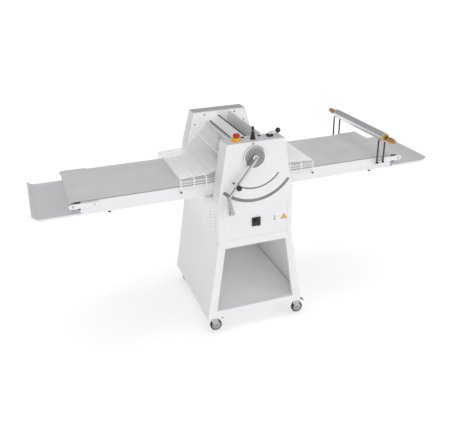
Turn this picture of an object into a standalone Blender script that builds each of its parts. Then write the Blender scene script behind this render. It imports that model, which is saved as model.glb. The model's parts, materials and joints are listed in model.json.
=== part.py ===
"""Floor-standing dough sheeter with fold-up conveyor tables.

Metres, +Z up, +X towards the table that carries the rolling pin, -Y towards the operator.
The origin is on the floor under the middle of the whole machine.
"""
import math

import bmesh
import bpy
from mathutils import Matrix, Vector

# ---------------------------------------------------------------- driving dimensions
GAP = 0.0003                    # clearance between pieces that touch
SHEET = 0.003                   # folded sheet thickness
FLANGE = 0.032                  # turned in at the front and back of each side panel

FRONT = -0.3520                 # y of the machine's front face
DEPTH = 0.750                   # stand, front to back
HEAD_DEPTH = 0.1165             # front head, front to back
REAR_HEAD = 0.6455              # rear head's inner face, behind the front face
REAR_HEAD_BACK = 0.738

STAND_BOTTOM = 0.118            # caster height
OPENING_BOTTOM = 0.168
OPENING_TOP = 0.606
WAIST_LOW = 0.659
HEAD_SEAM = 0.868
WAIST_TOP = 0.888
HEAD_TOP = 1.261
REAR_TOP = 1.280
REAR_SHOULDER = 1.063

FOOT_HALF = 0.326               # half-widths, from the foot up
WAIST_HALF = 0.240
TOP_HALF = 0.178

VENT_ROWS = (0.062, 0.147)      # vent holes in the stand's sides
VENTS, VENT_BOTTOM, VENT_PITCH, VENT_R = 7, 0.700, 0.020, 0.004

BELT_TOP = 1.002
BELT_WIDTH = 0.500
BELT = 0.0015
RAIL_TOP = 1.000
RAIL_BOTTOM = 0.922
RAIL_FRONT = 0.1195             # front rail's outer face, behind the front face
RAIL_BACK = 0.6425
TABLE_START = 0.060
TABLE_END = 0.998
DRIVE_X, DRIVE_R = 0.090, 0.025
END_X, END_R = 1.043, 0.0155

ROLLER_R = 0.031                # sheeting rollers
ROLLER_GAP = 0.006              # at rest
GAP_TRAVEL = 0.030

PIVOT_X, PIVOT_Z = -0.012, 1.170            # thickness lever
LEVER_ANGLE = math.radians(-38.4)           # from straight down, towards +X
LEVER_REACH = 0.270
INNER_ARC, INNER_SLOT = 0.193, 0.010        # radius and width of the two arc slots
OUTER_ARC, OUTER_SLOT = 0.271, 0.020
ARC_START, ARC_END = math.radians(-43.0), math.radians(52.0)

GUARD_HINGE = (0.080, 1.203)                # x and z on the right guard
GUARD_BEND = (0.235, 1.058)
GUARD_EDGE = (0.425, 1.050)
GUARD_SKIRT_START = 0.250
GUARD_SKIRT_BOTTOM = 0.976
GUARD_WIRE = 0.002
GUARD_PITCH = 0.100             # between the wires along the belt

TRAY_LIP = 1.267
TRAY_FOLD = 1.234
TRAY_FLOOR = 0.930
TRAY_RIM = 0.960

PIN_X, PIN_Z, PIN_R = 0.900, 1.151, 0.028
PIN_FRONT, PIN_BACK = 0.062, 0.674          # steel tube's ends, behind the front face
HANDLE_PROFILE = ((0, 0.110), (0.005, 0.110), (0.0125, 0.095), (0.0165, 0.068), (0.0155, 0.040),
                  (0.010, 0.019), (0.016, 0.015), (0.016, 0.0008), (0, 0.0008))
BRACKET_HALF, BRACKET_R, BRACKET_FOOT = 0.024, 0.004, 0.976

CASTER_X, CASTER_FRONT, CASTER_BACK = 0.288, 0.050, 0.700
CASTER_TRAIL = 0.030
WHEEL_R, WHEEL_WIDTH = 0.0375, 0.024

PALETTE = {
    "white_paint": ((0.86, 0.86, 0.87), 0.45, 0.0),
    "steel": ((0.60, 0.60, 0.61), 0.35, 1.0),
    "chrome": ((0.80, 0.80, 0.81), 0.12, 1.0),
    "belt_fabric": ((0.74, 0.74, 0.75), 0.80, 0.0),
    "guard_wire": ((0.88, 0.88, 0.89), 0.40, 0.0),
    "black_plastic": ((0.02, 0.02, 0.02), 0.45, 0.0),
    "rubber": ((0.04, 0.04, 0.04), 0.80, 0.0),
    "zinc": ((0.55, 0.56, 0.57), 0.40, 1.0),
    "red_plastic": ((0.60, 0.02, 0.01), 0.35, 0.0),
    "yellow_plastic": ((0.85, 0.60, 0.02), 0.40, 0.0),
    "wood": ((0.55, 0.28, 0.08), 0.50, 0.0),
    "motor_gray": ((0.30, 0.31, 0.33), 0.60, 0.0),
}


def y_at(behind):
    """The y of a place given by its distance behind the front face."""
    return FRONT + behind


MIDDLE = y_at((RAIL_FRONT + RAIL_BACK) / 2)     # y of the belts' centre line


# ---------------------------------------------------------------- scene helpers
def clear_scene():
    for item in list(bpy.data.objects):
        bpy.data.objects.remove(item, do_unlink=True)


def new_collection(name):
    collection = bpy.data.collections.new(name)
    bpy.context.scene.collection.children.link(collection)
    return collection


def make_material(name):
    color, roughness, metallic = PALETTE[name]
    material = bpy.data.materials.new(name)
    material.use_nodes = True
    shader = material.node_tree.nodes["Principled BSDF"]
    shader.inputs["Base Color"].default_value = (*color, 1.0)
    shader.inputs["Roughness"].default_value = roughness
    shader.inputs["Metallic"].default_value = metallic
    return material


clear_scene()
PARTS = new_collection("dough_sheeter")
CUTTERS = new_collection("cutters")
MATERIALS = {name: make_material(name) for name in PALETTE}


def link_mesh(name, mesh, material, origin=(0, 0, 0)):
    """Put a mesh that is built in world coordinates in the scene, with its origin at a place."""
    mesh.transform(Matrix.Translation(-Vector(origin)))
    thing = bpy.data.objects.new(name, mesh)
    thing.location = origin
    if material:
        mesh.materials.append(MATERIALS[material])
        PARTS.objects.link(thing)
    else:
        thing.hide_render = True
        thing.display_type = "WIRE"
        CUTTERS.objects.link(thing)
    return thing


def mesh_from(name, solid):
    bmesh.ops.recalc_face_normals(solid, faces=solid.faces)
    mesh = bpy.data.meshes.new(name)
    solid.to_mesh(mesh)
    solid.free()
    return mesh


def box(name, low, high, material, origin=(0, 0, 0)):
    low, high = Vector(low), Vector(high)
    solid = bmesh.new()
    bmesh.ops.create_cube(solid, size=1.0)
    bmesh.ops.scale(solid, vec=high - low, verts=solid.verts)
    bmesh.ops.translate(solid, vec=(low + high) / 2, verts=solid.verts)
    return link_mesh(name, mesh_from(name, solid), material, origin)


def rod(name, start, end, radius, material, origin=(0, 0, 0), end_radius=None, sides=24):
    """A cylinder or a cone between two points."""
    start, end = Vector(start), Vector(end)
    along = end - start
    tip = radius if end_radius is None else end_radius
    solid = bmesh.new()
    bmesh.ops.create_cone(solid, cap_ends=True, segments=sides, radius1=radius, radius2=tip,
                          depth=along.length)
    turn = Vector((0, 0, 1)).rotation_difference(along).to_matrix().to_4x4()
    bmesh.ops.transform(solid, matrix=Matrix.Translation((start + end) / 2) @ turn,
                        verts=solid.verts)
    mesh = mesh_from(name, solid)
    thing = link_mesh(name, mesh, material, origin)
    smooth(thing)
    return thing


def ball(name, centre, radius, material, origin=(0, 0, 0), sides=20):
    solid = bmesh.new()
    bmesh.ops.create_uvsphere(solid, u_segments=sides, v_segments=sides // 2, radius=radius)
    bmesh.ops.translate(solid, vec=centre, verts=solid.verts)
    thing = link_mesh(name, mesh_from(name, solid), material, origin)
    smooth(thing)
    return thing


def smooth(thing):
    thing.data.shade_smooth()
    thing.data.set_sharp_from_angle(angle=math.radians(35))


def evaluated_mesh(name, guide):
    """The closed, welded mesh of a curve object or of one with modifiers, which is then removed."""
    CUTTERS.objects.link(guide)
    bpy.context.view_layer.update()
    graph = bpy.context.evaluated_depsgraph_get()
    mesh = bpy.data.meshes.new_from_object(guide.evaluated_get(graph))
    mesh.materials.clear()
    mesh.name = name
    bpy.data.objects.remove(guide, do_unlink=True)
    solid = bmesh.new()
    solid.from_mesh(mesh)
    bmesh.ops.remove_doubles(solid, verts=solid.verts, dist=0.00001)
    bmesh.ops.recalc_face_normals(solid, faces=solid.faces)
    solid.to_mesh(mesh)
    solid.free()
    return mesh


def curve_to_mesh(name, curve):
    return evaluated_mesh(name, bpy.data.objects.new(name + "_curve", curve))


# each plane: the world axes of an outline's two coordinates and of its thickness
PLANES = {
    "xz": Matrix(((1, 0, 0, 0), (0, 0, -1, 0), (0, 1, 0, 0), (0, 0, 0, 1))),
    "yz": Matrix(((0, 0, 1, 0), (1, 0, 0, 0), (0, 1, 0, 0), (0, 0, 0, 1))),
    "xy": Matrix.Identity(4),
}


def prism(name, outlines, plane, low, high, material, origin=(0, 0, 0)):
    """A flat outline, with any holes as further outlines, made as thick as low to high."""
    curve = bpy.data.curves.new(name, "CURVE")
    curve.dimensions = "2D"
    curve.fill_mode = "BOTH"
    curve.extrude = (high - low) / 2
    for outline in outlines:
        spline = curve.splines.new("POLY")
        spline.points.add(len(outline) - 1)
        for point, (u, v) in zip(spline.points, outline):
            point.co = (u, v, 0, 1)
        spline.use_cyclic_u = True
    mesh = curve_to_mesh(name, curve)
    mesh.transform(PLANES[plane])
    middle = (low + high) / 2
    offset = {"xz": (0, middle, 0), "yz": (middle, 0, 0), "xy": (0, 0, middle)}[plane]
    mesh.transform(Matrix.Translation(offset))
    return link_mesh(name, mesh, material, origin)


def tube_path(name, points, radius, material, origin=(0, 0, 0), resolution=2):
    """A round rod bent along points."""
    curve = bpy.data.curves.new(name, "CURVE")
    curve.dimensions = "3D"
    curve.bevel_depth = radius
    curve.bevel_resolution = resolution
    curve.use_fill_caps = True
    spline = curve.splines.new("POLY")
    spline.points.add(len(points) - 1)
    for point, place in zip(spline.points, points):
        point.co = (*place, 1)
    thing = link_mesh(name, curve_to_mesh(name, curve), material, origin)
    smooth(thing)
    return thing


def turned(name, profile, place, direction, material, origin=(0, 0, 0), sides=16):
    """A shape turned about an axis, from radii and heights along it, top to bottom."""
    outline = bpy.data.meshes.new(name)
    edges = [(step, step + 1) for step in range(len(profile) - 1)]
    outline.from_pydata([(radius, 0, height) for radius, height in profile], edges, [])
    guide = bpy.data.objects.new(name + "_profile", outline)
    screw = guide.modifiers.new("turn", "SCREW")
    screw.steps = screw.render_steps = sides
    screw.use_merge_vertices = True
    screw.merge_threshold = 0.00001
    mesh = evaluated_mesh(name, guide)
    turn = Vector((0, 0, 1)).rotation_difference(Vector(direction)).to_matrix().to_4x4()
    mesh.transform(Matrix.Translation(place) @ turn)
    thing = link_mesh(name, mesh, material, origin)
    smooth(thing)
    return thing


def combine(target, other, operation):
    """Apply a Boolean, and drop the second object."""
    step = target.modifiers.new(operation.lower(), "BOOLEAN")
    step.operation = operation
    step.solver = "EXACT"
    step.object = other
    bpy.context.view_layer.update()
    graph = bpy.context.evaluated_depsgraph_get()
    mesh = bpy.data.meshes.new_from_object(target.evaluated_get(graph))
    old = target.data
    target.modifiers.clear()
    target.data = mesh
    bpy.data.meshes.remove(old)
    bpy.data.objects.remove(other, do_unlink=True)
    while len(mesh.materials) > 1:
        mesh.materials.pop()
    smooth(target)


def cut(target, *others):
    for other in others:
        combine(target, other, "DIFFERENCE")


def join(target, *others):
    for other in others:
        combine(target, other, "UNION")


def arc_points(x, z, radius, start, end, steps):
    """Points on an arc about (x, z), angles measured from straight down towards +X."""
    angles = [start + (end - start) * step / steps for step in range(steps + 1)]
    return [(x + radius * math.sin(angle), z - radius * math.cos(angle)) for angle in angles]


def arc_slot(x, z, radius, width, start, end, steps=16):
    """The outline of a slot of even width along an arc, with round ends."""
    half = width / 2
    outer = arc_points(x, z, radius + half, start, end, steps)
    inner = arc_points(x, z, radius - half, end, start, steps)
    far_x, far_z = arc_points(x, z, radius, end, end, 1)[0]
    near_x, near_z = arc_points(x, z, radius, start, start, 1)[0]
    far_cap = arc_points(far_x, far_z, half, end, end + math.pi, 6)[1:-1]
    near_cap = arc_points(near_x, near_z, half, start + math.pi, start + 2 * math.pi, 6)[1:-1]
    return outer + far_cap + inner + near_cap


def mirrored(outline):
    """A right-hand outline made symmetric about x = 0."""
    return outline + [(-x, z) for x, z in reversed(outline)]


# ---------------------------------------------------------------- stand
def half_width(z):
    """Half the stand's width at a height."""
    if z > WAIST_LOW:
        return WAIST_HALF
    share = (z - STAND_BOTTOM) / (WAIST_LOW - STAND_BOTTOM)
    return FOOT_HALF + (WAIST_HALF - FOOT_HALF) * share


def slanted_strip(side, low, high, outer_inset, inner_inset):
    """The outline between two insets from the stand's side, from low up to high."""
    heights = [low] + ([WAIST_LOW] if low < WAIST_LOW < high else []) + [high]
    outer = [(side * (half_width(z) - outer_inset), z) for z in heights]
    inner = [(side * (half_width(z) - inner_inset), z) for z in reversed(heights)]
    return outer + inner


def stand_side(name, side):
    """Side panel: a bent web with a flange turned in at the front and at the back."""
    panel = prism(name, [slanted_strip(side, STAND_BOTTOM, WAIST_TOP, 0, FLANGE)], "xz",
                  y_at(0), y_at(DEPTH), "white_paint")
    hollow = prism(name + "_hollow",
                   [slanted_strip(side, STAND_BOTTOM - 0.01, WAIST_TOP + 0.01, SHEET, 0.050)],
                   "xz", y_at(SHEET), y_at(DEPTH - SHEET), None)
    cut(panel, hollow)
    for row in VENT_ROWS:
        for step in range(VENTS):
            y, z = y_at(row), VENT_BOTTOM + VENT_PITCH * step
            cut(panel, rod("vent", (side * (WAIST_HALF - 0.02), y, z),
                           (side * (WAIST_HALF + 0.02), y, z), VENT_R, None, sides=6))
    return panel


def stand_front():
    """Portal between the side panels: two leg strips, a header and a sill, with a folded lip."""
    inset = FLANGE + GAP
    outline = mirrored([(half_width(z) - inset, z) for z in (STAND_BOTTOM, WAIST_LOW - GAP)])
    opening = mirrored([(half_width(OPENING_BOTTOM) - 0.056, OPENING_BOTTOM),
                        (half_width(OPENING_TOP) - 0.050, OPENING_TOP)])
    portal = prism("stand_front_frame", [outline], "xz", y_at(0), y_at(0.025), "white_paint")
    window = prism("stand_window", [opening], "xz", y_at(-0.01), y_at(0.05), None)
    lip = [(x + math.copysign(SHEET, x), z + SHEET * (1 if z > OPENING_BOTTOM else -1))
           for x, z in opening]
    around = [(-0.5, 0), (0.5, 0), (0.5, 1), (-0.5, 1)]
    behind = prism("behind_the_face", [around, lip], "xz", y_at(SHEET), y_at(0.05), None)
    cut(portal, window, behind)
    return portal


def stand_back():
    inset = FLANGE + GAP
    outline = mirrored([(half_width(z) - inset, z) for z in (STAND_BOTTOM, WAIST_LOW, WAIST_TOP)])
    return prism("stand_back_panel", [outline], "xz", y_at(DEPTH - SHEET), y_at(DEPTH),
                 "white_paint")


def stand_shelf():
    """Floor of the compartment, with a caster plate under each corner."""
    top = OPENING_BOTTOM - 0.004
    half = half_width(top) - SHEET - GAP
    low_half = half_width(top - 0.004) - SHEET - GAP
    shelf = prism("stand_shelf", [mirrored([(low_half, top - 0.004), (half, top)])], "xz",
                  y_at(0.0255), y_at(DEPTH - SHEET - GAP), "white_paint")
    for side in (-1, 1):
        for place in (CASTER_FRONT, CASTER_BACK):
            post = box("post", (side * CASTER_X - 0.026, y_at(place) - 0.0230, STAND_BOTTOM - 0.003),
                       (side * CASTER_X + 0.026, y_at(place) + 0.0230, top - 0.002), None)
            join(shelf, post)
    return shelf


def waist_deck():
    """Plate across the waist that carries the drive and the two head plates."""
    half = WAIST_HALF - SHEET - GAP
    return box("waist_deck", (-half, y_at(0.0035), WAIST_LOW + 0.0003),
               (half, y_at(DEPTH - SHEET - GAP), WAIST_LOW + 0.0043), "white_paint")


def switch_panel():
    half = WAIST_HALF - FLANGE - GAP
    panel = box("switch_panel", (-half, y_at(0), WAIST_LOW + 0.0003),
                (half, y_at(SHEET), HEAD_SEAM - GAP), "white_paint")
    window = box("switch_window", (-0.020, y_at(-0.01), 0.738), (0.020, y_at(0.01), 0.778), None)
    cut(panel, window)
    return panel


def table_support(name, side):
    """Bar under a table's rails, on two brackets on the stand's side."""
    x, z, radius = side * 0.271, 0.9100, 0.0115
    bar = rod(name, (x, y_at(0.085), z), (x, y_at(0.675), z), radius, "black_plastic", sides=16)
    for place in (0.170, 0.590):
        inner = side * (WAIST_HALF + GAP)
        outer = side * 0.276
        bracket = box("bracket", (min(inner, outer), y_at(place) - 0.010, 0.862),
                      (max(inner, outer), y_at(place) + 0.010, 0.909), None)
        join(bar, bracket)
    return bar


# ---------------------------------------------------------------- heads
def head_half_width(z):
    if z < WAIST_TOP:
        return WAIST_HALF
    return WAIST_HALF + (TOP_HALF - WAIST_HALF) * (z - WAIST_TOP) / (HEAD_TOP - WAIST_TOP)


def head_outline(inset, bottom, top):
    """Symmetric outline of the front head, inset from its skin."""
    heights = [bottom] + ([WAIST_TOP] if bottom < WAIST_TOP < top else []) + [top]
    return mirrored([(head_half_width(z) - inset, z) for z in heights])


def rear_half_width(z):
    if z < REAR_SHOULDER:
        return WAIST_HALF
    return WAIST_HALF + (0.180 - WAIST_HALF) * (z - REAR_SHOULDER) / (REAR_TOP - REAR_SHOULDER)


def rear_outline(inset, bottom, top):
    heights = [bottom, REAR_SHOULDER, top]
    return mirrored([(rear_half_width(z) - inset, z) for z in heights])


def front_head_cover():
    """Shell over the front head, with two arc slots for the thickness lever."""
    low = WAIST_TOP + GAP
    upper = prism("front_head_cover", [head_outline(0, low, HEAD_TOP)], "xz", y_at(0),
                  y_at(HEAD_DEPTH), "white_paint")
    apron_half = WAIST_HALF - FLANGE - GAP
    apron = box("apron", (-apron_half, y_at(0), HEAD_SEAM), (apron_half, y_at(0.020), low + 0.01),
                None)
    join(upper, apron)
    hollow = prism("hollow", [head_outline(SHEET, WAIST_TOP + 0.0002, HEAD_TOP - SHEET)], "xz",
                   y_at(SHEET), y_at(HEAD_DEPTH + 0.02), None)
    floor_half = WAIST_HALF - FLANGE - SHEET
    floor_cut = box("floor_cut", (-floor_half, y_at(SHEET), HEAD_SEAM - 0.01),
                    (floor_half, y_at(HEAD_DEPTH + 0.02), WAIST_TOP + 0.005), None)
    cut(upper, hollow, floor_cut)
    inner = prism("inner_slot", [arc_slot(PIVOT_X, PIVOT_Z, INNER_ARC, INNER_SLOT, ARC_START,
                                          ARC_END)], "xz", y_at(-0.02), y_at(0.02), None)
    outer = prism("outer_slot", [arc_slot(PIVOT_X, PIVOT_Z, OUTER_ARC, OUTER_SLOT, ARC_START,
                                          ARC_END)], "xz", y_at(-0.02), y_at(0.02), None)
    shaft = rod("shaft_hole", (PIVOT_X, y_at(-0.02), PIVOT_Z), (PIVOT_X, y_at(0.02), PIVOT_Z),
                0.013, None)
    cut(upper, inner, outer, shaft)
    return upper


def index_arc_plate():
    """Steel plate close behind the arc slots, with the index holes' track in it."""
    start, end = ARC_START - math.radians(3), ARC_END + math.radians(2)
    band = (arc_points(PIVOT_X, PIVOT_Z, OUTER_ARC + 0.0115, start, end, 20)
            + arc_points(PIVOT_X, PIVOT_Z, INNER_ARC - 0.012, end, start, 20))
    return prism("index_arc_plate", [band], "xz", y_at(0.0035), y_at(0.0055), "steel")


def shaft_slot(plate, low, high):
    """Slots in a head plate for the two rollers' journals."""
    lower = rod("journal_hole", (0, low, BELT_TOP - ROLLER_R), (0, high, BELT_TOP - ROLLER_R),
                0.014, None)
    upper_z = BELT_TOP + ROLLER_GAP + ROLLER_R
    upper = box("journal_slot", (-0.014, low, upper_z - 0.014),
                (0.014, high, upper_z + GAP_TRAVEL + 0.052), None)
    cut(plate, lower, upper)


def head_plate(name, outline, low, high):
    """Thick plate that carries the rollers' bearings at one end."""
    plate = prism(name, [outline], "xz", low, high, "white_paint")
    shaft_slot(plate, low - 0.01, high + 0.01)
    return plate


def head_plates():
    inset = SHEET + GAP
    bottom = WAIST_LOW + 0.0043 + GAP
    head_plate("front_head_plate", head_outline(inset, bottom, HEAD_TOP - inset),
               y_at(HEAD_DEPTH - 0.010), y_at(HEAD_DEPTH))
    head_plate("rear_head_plate", rear_outline(inset, bottom, REAR_TOP - inset),
               y_at(REAR_HEAD), y_at(REAR_HEAD + 0.010))


def rear_head_cover():
    cover = prism("rear_head_cover", [rear_outline(0, WAIST_TOP + GAP, REAR_TOP)], "xz",
                  y_at(REAR_HEAD), y_at(REAR_HEAD_BACK), "white_paint")
    hollow = prism("rear_hollow", [rear_outline(SHEET, WAIST_TOP - 0.01, REAR_TOP - SHEET)], "xz",
                   y_at(REAR_HEAD - 0.01), y_at(REAR_HEAD_BACK - SHEET), None)
    cut(cover, hollow)
    return cover


def top_covers():
    """Sheet-metal covers and flour tray over the rollers, between the two heads."""
    low, high = y_at(HEAD_DEPTH) + GAP, y_at(REAR_HEAD) - GAP
    thick = 0.002
    left = [(-0.070, 1.214), (-0.016, 1.248), (-0.011, 1.248), (-0.011, 1.2395), (-0.0165, 1.2395),
            (-0.068, 1.207)]
    prism("left_top_cover", [left], "xz", low, high, "white_paint")
    right = [(0.040, 1.186), (0.068, 1.268), (0.076, 1.268), (0.076, 1.262), (0.0720, 1.262),
             (0.044, 1.182)]
    prism("right_top_cover", [right], "xz", low, high, "white_paint")
    tray_floor, tray_top = 1.176, 1.2385
    tray = [(-0.012, tray_top), (-0.010, tray_floor), (0.0335, tray_floor), (0.0385, 1.186),
            (0.0365, 1.186), (0.0325, tray_floor + thick), (-0.008, tray_floor + thick),
            (-0.010, tray_top)]
    prism("flour_tray", [tray], "xz", low, high, "steel")


# ---------------------------------------------------------------- rollers and drive
def sheeting_rollers():
    inner_low, inner_high = y_at(HEAD_DEPTH + 0.0035), y_at(REAR_HEAD - 0.0035)
    journal_low, journal_high = y_at(HEAD_DEPTH - 0.034), y_at(REAR_HEAD + 0.034)
    for name, z in (("lower_roller", BELT_TOP - ROLLER_R),
                    ("upper_roller", BELT_TOP + ROLLER_GAP + ROLLER_R)):
        roller = rod(name, (0, inner_low, z), (0, inner_high, z), ROLLER_R, "chrome",
                     origin=(0, MIDDLE, z), sides=32)
        journal = rod("journal", (0, journal_low, z), (0, journal_high, z), 0.0125, None)
        join(roller, journal)


def roller_carriage():
    """The two bearing blocks of the upper roller and the scraper bar that ties them together."""
    z = BELT_TOP + ROLLER_GAP + ROLLER_R
    blade = [(-0.0060, z + 0.0335), (0.0060, z + 0.0335), (0.0060, z + 0.0480),
             (-0.0060, z + 0.0480)]
    carriage = prism("roller_carriage", [blade], "xz", y_at(HEAD_DEPTH - 0.040),
                     y_at(REAR_HEAD + 0.040), "steel", origin=(0, MIDDLE, z))
    for low, high in ((y_at(HEAD_DEPTH - 0.040), y_at(HEAD_DEPTH - 0.0125)),
                      (y_at(REAR_HEAD + 0.0125), y_at(REAR_HEAD + 0.040))):
        block = box("block", (-0.032, low, z - 0.020), (0.032, high, z + 0.046), None)
        hole = rod("bearing_hole", (0, low - 0.01, z), (0, high + 0.01, z), 0.0129, None)
        cut(block, hole)
        join(carriage, block)
    return carriage


def drive():
    """Gear motor on the waist deck."""
    deck = WAIST_LOW + 0.0043 + GAP
    axis_z = deck + 0.075
    motor = rod("gear_motor", (0.020, y_at(0.330), axis_z), (0.020, y_at(0.560), axis_z), 0.065,
                "motor_gray", sides=32)
    join(motor,
         box("motor_foot", (-0.050, y_at(0.370), deck), (0.090, y_at(0.520), axis_z - 0.030), None),
         box("gear_case", (-0.035, y_at(0.235), deck), (0.075, y_at(0.3305), axis_z + 0.060), None))


# ---------------------------------------------------------------- conveyor tables
def belt_outline(side, offset):
    """Outline of a belt's path, offset outwards from its two rollers."""
    drive_r, end_r = DRIVE_R + offset, END_R + offset
    drive_z, end_z = BELT_TOP - BELT - DRIVE_R, BELT_TOP - BELT - END_R
    lean = math.asin((DRIVE_R - END_R) / math.hypot(END_X - DRIVE_X, end_z - drive_z))
    tilt = math.atan2(end_z - drive_z, END_X - DRIVE_X)
    under = -(lean - tilt) - math.pi / 2
    steps = 10
    points = []
    for step in range(steps + 1):
        angle = math.pi / 2 - (math.pi / 2 - under) * step / steps
        points.append((END_X + end_r * math.cos(angle), end_z + end_r * math.sin(angle)))
    for step in range(steps + 1):
        angle = under - (under + 3 * math.pi / 2) * step / steps
        points.append((DRIVE_X + drive_r * math.cos(angle), drive_z + drive_r * math.sin(angle)))
    return [(side * x, z) for x, z in points]


def table_frame(name, side):
    """Two lipped side rails joined by the bed that the belt slides on."""
    lip, rail = 0.016, 0.003
    front, back = y_at(RAIL_FRONT), y_at(RAIL_BACK)
    bed_low, bed_high = 0.984, 0.988

    def half(edge, sign):
        return [(edge + sign * lip, RAIL_BOTTOM), (edge, RAIL_BOTTOM), (edge, RAIL_TOP),
                (edge + sign * 0.009, RAIL_TOP), (edge + sign * 0.009, RAIL_TOP - rail),
                (edge + sign * rail, RAIL_TOP - rail), (edge + sign * rail, bed_high)]

    def lower_half(edge, sign):
        return [(edge + sign * rail, bed_low), (edge + sign * rail, RAIL_BOTTOM + rail),
                (edge + sign * lip, RAIL_BOTTOM + rail)]

    outline = half(front, 1) + list(reversed(half(back, -1)))
    outline += list(reversed(lower_half(back, -1)))
    outline += lower_half(front, 1)
    low, high = sorted((side * TABLE_START, side * TABLE_END))
    frame = prism(name, [outline], "yz", low, high, "white_paint",
                  origin=(side * DRIVE_X, MIDDLE, BELT_TOP - BELT - DRIVE_R))
    edges = sorted((side * (TABLE_START - 0.01), side * (DRIVE_X + 0.034)))
    notch = box("bed_notch", (edges[0], front + rail, RAIL_BOTTOM - 0.01),
                (edges[1], back - rail, RAIL_TOP + 0.01), None)
    cut(frame, notch)
    pivot_z = BELT_TOP - BELT - DRIVE_R
    axle = rod("axle_hole", (side * DRIVE_X, front - 0.01, pivot_z),
               (side * DRIVE_X, back + 0.01, pivot_z), 0.0085, None)
    cut(frame, axle)
    return frame


def table_rollers(prefix, side):
    """The driven roller that the table folds about, and the tension roller at its free end."""
    drive_z, end_z = BELT_TOP - BELT - DRIVE_R, BELT_TOP - BELT - END_R
    half = BELT_WIDTH / 2 + 0.002
    centre = (side * DRIVE_X, MIDDLE, drive_z)
    roller = rod(prefix + "_drive_roller", (side * DRIVE_X, MIDDLE - half, drive_z),
                 (side * DRIVE_X, MIDDLE + half, drive_z), DRIVE_R - GAP, "steel", origin=centre)
    join(roller, rod("stub", (side * DRIVE_X, MIDDLE - half - 0.0113, drive_z),
                     (side * DRIVE_X, MIDDLE + half + 0.0113, drive_z), 0.008, None))
    centre = (side * END_X, MIDDLE, end_z)
    end = rod(prefix + "_end_roller", (side * END_X, MIDDLE - half, end_z),
              (side * END_X, MIDDLE + half, end_z), END_R - GAP, "steel", origin=centre, sides=20)
    bore = rod("bore", (side * END_X, MIDDLE - half - 0.01, end_z),
               (side * END_X, MIDDLE + half + 0.01, end_z), 0.0065, None, sides=16)
    cut(end, bore)


def adjuster_arm(side, outer, inner):
    """Tension arm: a plate with round ends on the outside of a rail."""
    z, radius = BELT_TOP - BELT - END_R, 0.0145
    near, far = side * 0.912, side * 1.052
    low, high = sorted((outer, inner))
    outline = []
    for step in range(9):
        angle = math.pi / 2 - math.pi * step / 8
        outline.append((max(near, far) + radius * math.cos(angle), z + radius * math.sin(angle)))
    for step in range(9):
        angle = -math.pi / 2 - math.pi * step / 8
        outline.append((min(near, far) + radius * math.cos(angle), z + radius * math.sin(angle)))
    return prism("arm", [outline], "xz", low, high, None)


def end_roller_carrier(name, side):
    """The end roller's axle and the tension arm at each end of it, as one sliding carrier."""
    z = BELT_TOP - BELT - END_R
    front, back = y_at(RAIL_FRONT), y_at(RAIL_BACK)
    axle = rod(name, (side * END_X, front - 0.012, z), (side * END_X, back + 0.012, z), 0.006,
               "white_paint", sides=16)
    for edge, sign in ((front, -1), (back, 1)):
        join(axle, adjuster_arm(side, edge + sign * 0.0095, edge + sign * 0.0175))
        spacer = rod("spacer", (side * 0.960, edge + sign * GAP, z),
                     (side * 0.960, edge + sign * 0.012, z), 0.009, None, sides=16)
        join(axle, spacer)
    return axle


def conveyor_table(prefix, side):
    table_frame(prefix + "_table_frame", side)
    prism(prefix + "_belt", [belt_outline(side, BELT), belt_outline(side, GAP)], "xz",
          MIDDLE - BELT_WIDTH / 2, MIDDLE + BELT_WIDTH / 2, "belt_fabric")
    table_rollers(prefix, side)
    end_roller_carrier(prefix + "_end_roller_carrier", side)
    catch_tray(prefix + "_catch_tray", side)
    wire_guard(prefix + "_guard", side)


def catch_tray(name, side):
    """Shallow pan past the belt's end, with an upturned outer lip and low side lips."""
    thick = 0.002
    low, high = y_at(0.105), y_at(0.657)
    start = 1.000
    profile = [(start, TRAY_FLOOR - thick), (TRAY_FOLD, TRAY_FLOOR - thick),
               (TRAY_LIP, TRAY_RIM - thick), (TRAY_LIP, TRAY_RIM), (TRAY_LIP - 0.003, TRAY_RIM),
               (TRAY_FOLD - 0.001, TRAY_FLOOR), (start, TRAY_FLOOR)]
    pan = prism(name, [[(side * x, z) for x, z in profile]], "xz", low, high, "white_paint")
    lip = [(start + 0.002, TRAY_FLOOR - 0.001), (TRAY_FOLD - 0.002, TRAY_FLOOR - 0.001),
           (TRAY_FOLD + 0.024, TRAY_FLOOR + 0.022), (TRAY_FOLD - 0.004, TRAY_FLOOR + 0.010),
           (start + 0.002, TRAY_FLOOR + 0.010)]
    for edge, sign in ((low, 1), (high, -1)):
        sides = sorted((edge + sign * 0.0005, edge + sign * (0.0005 + thick)))
        join(pan, prism("lip", [[(side * x, z) for x, z in lip]], "xz", *sides, None))
    return pan


# ---------------------------------------------------------------- wire guards
def wire_set(name, paths, material, origin=(0, 0, 0)):
    """Straight or bent wires as one mesh of closed square-sided tubes."""
    curve = bpy.data.curves.new(name, "CURVE")
    curve.dimensions = "3D"
    curve.bevel_depth = GUARD_WIRE
    curve.bevel_resolution = 0
    curve.use_fill_caps = True
    for path in paths:
        spline = curve.splines.new("POLY")
        spline.points.add(len(path) - 1)
        for point, place in zip(spline.points, path):
            point.co = (*place, 1)
    return link_mesh(name, curve_to_mesh(name, curve), material, origin)


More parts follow.
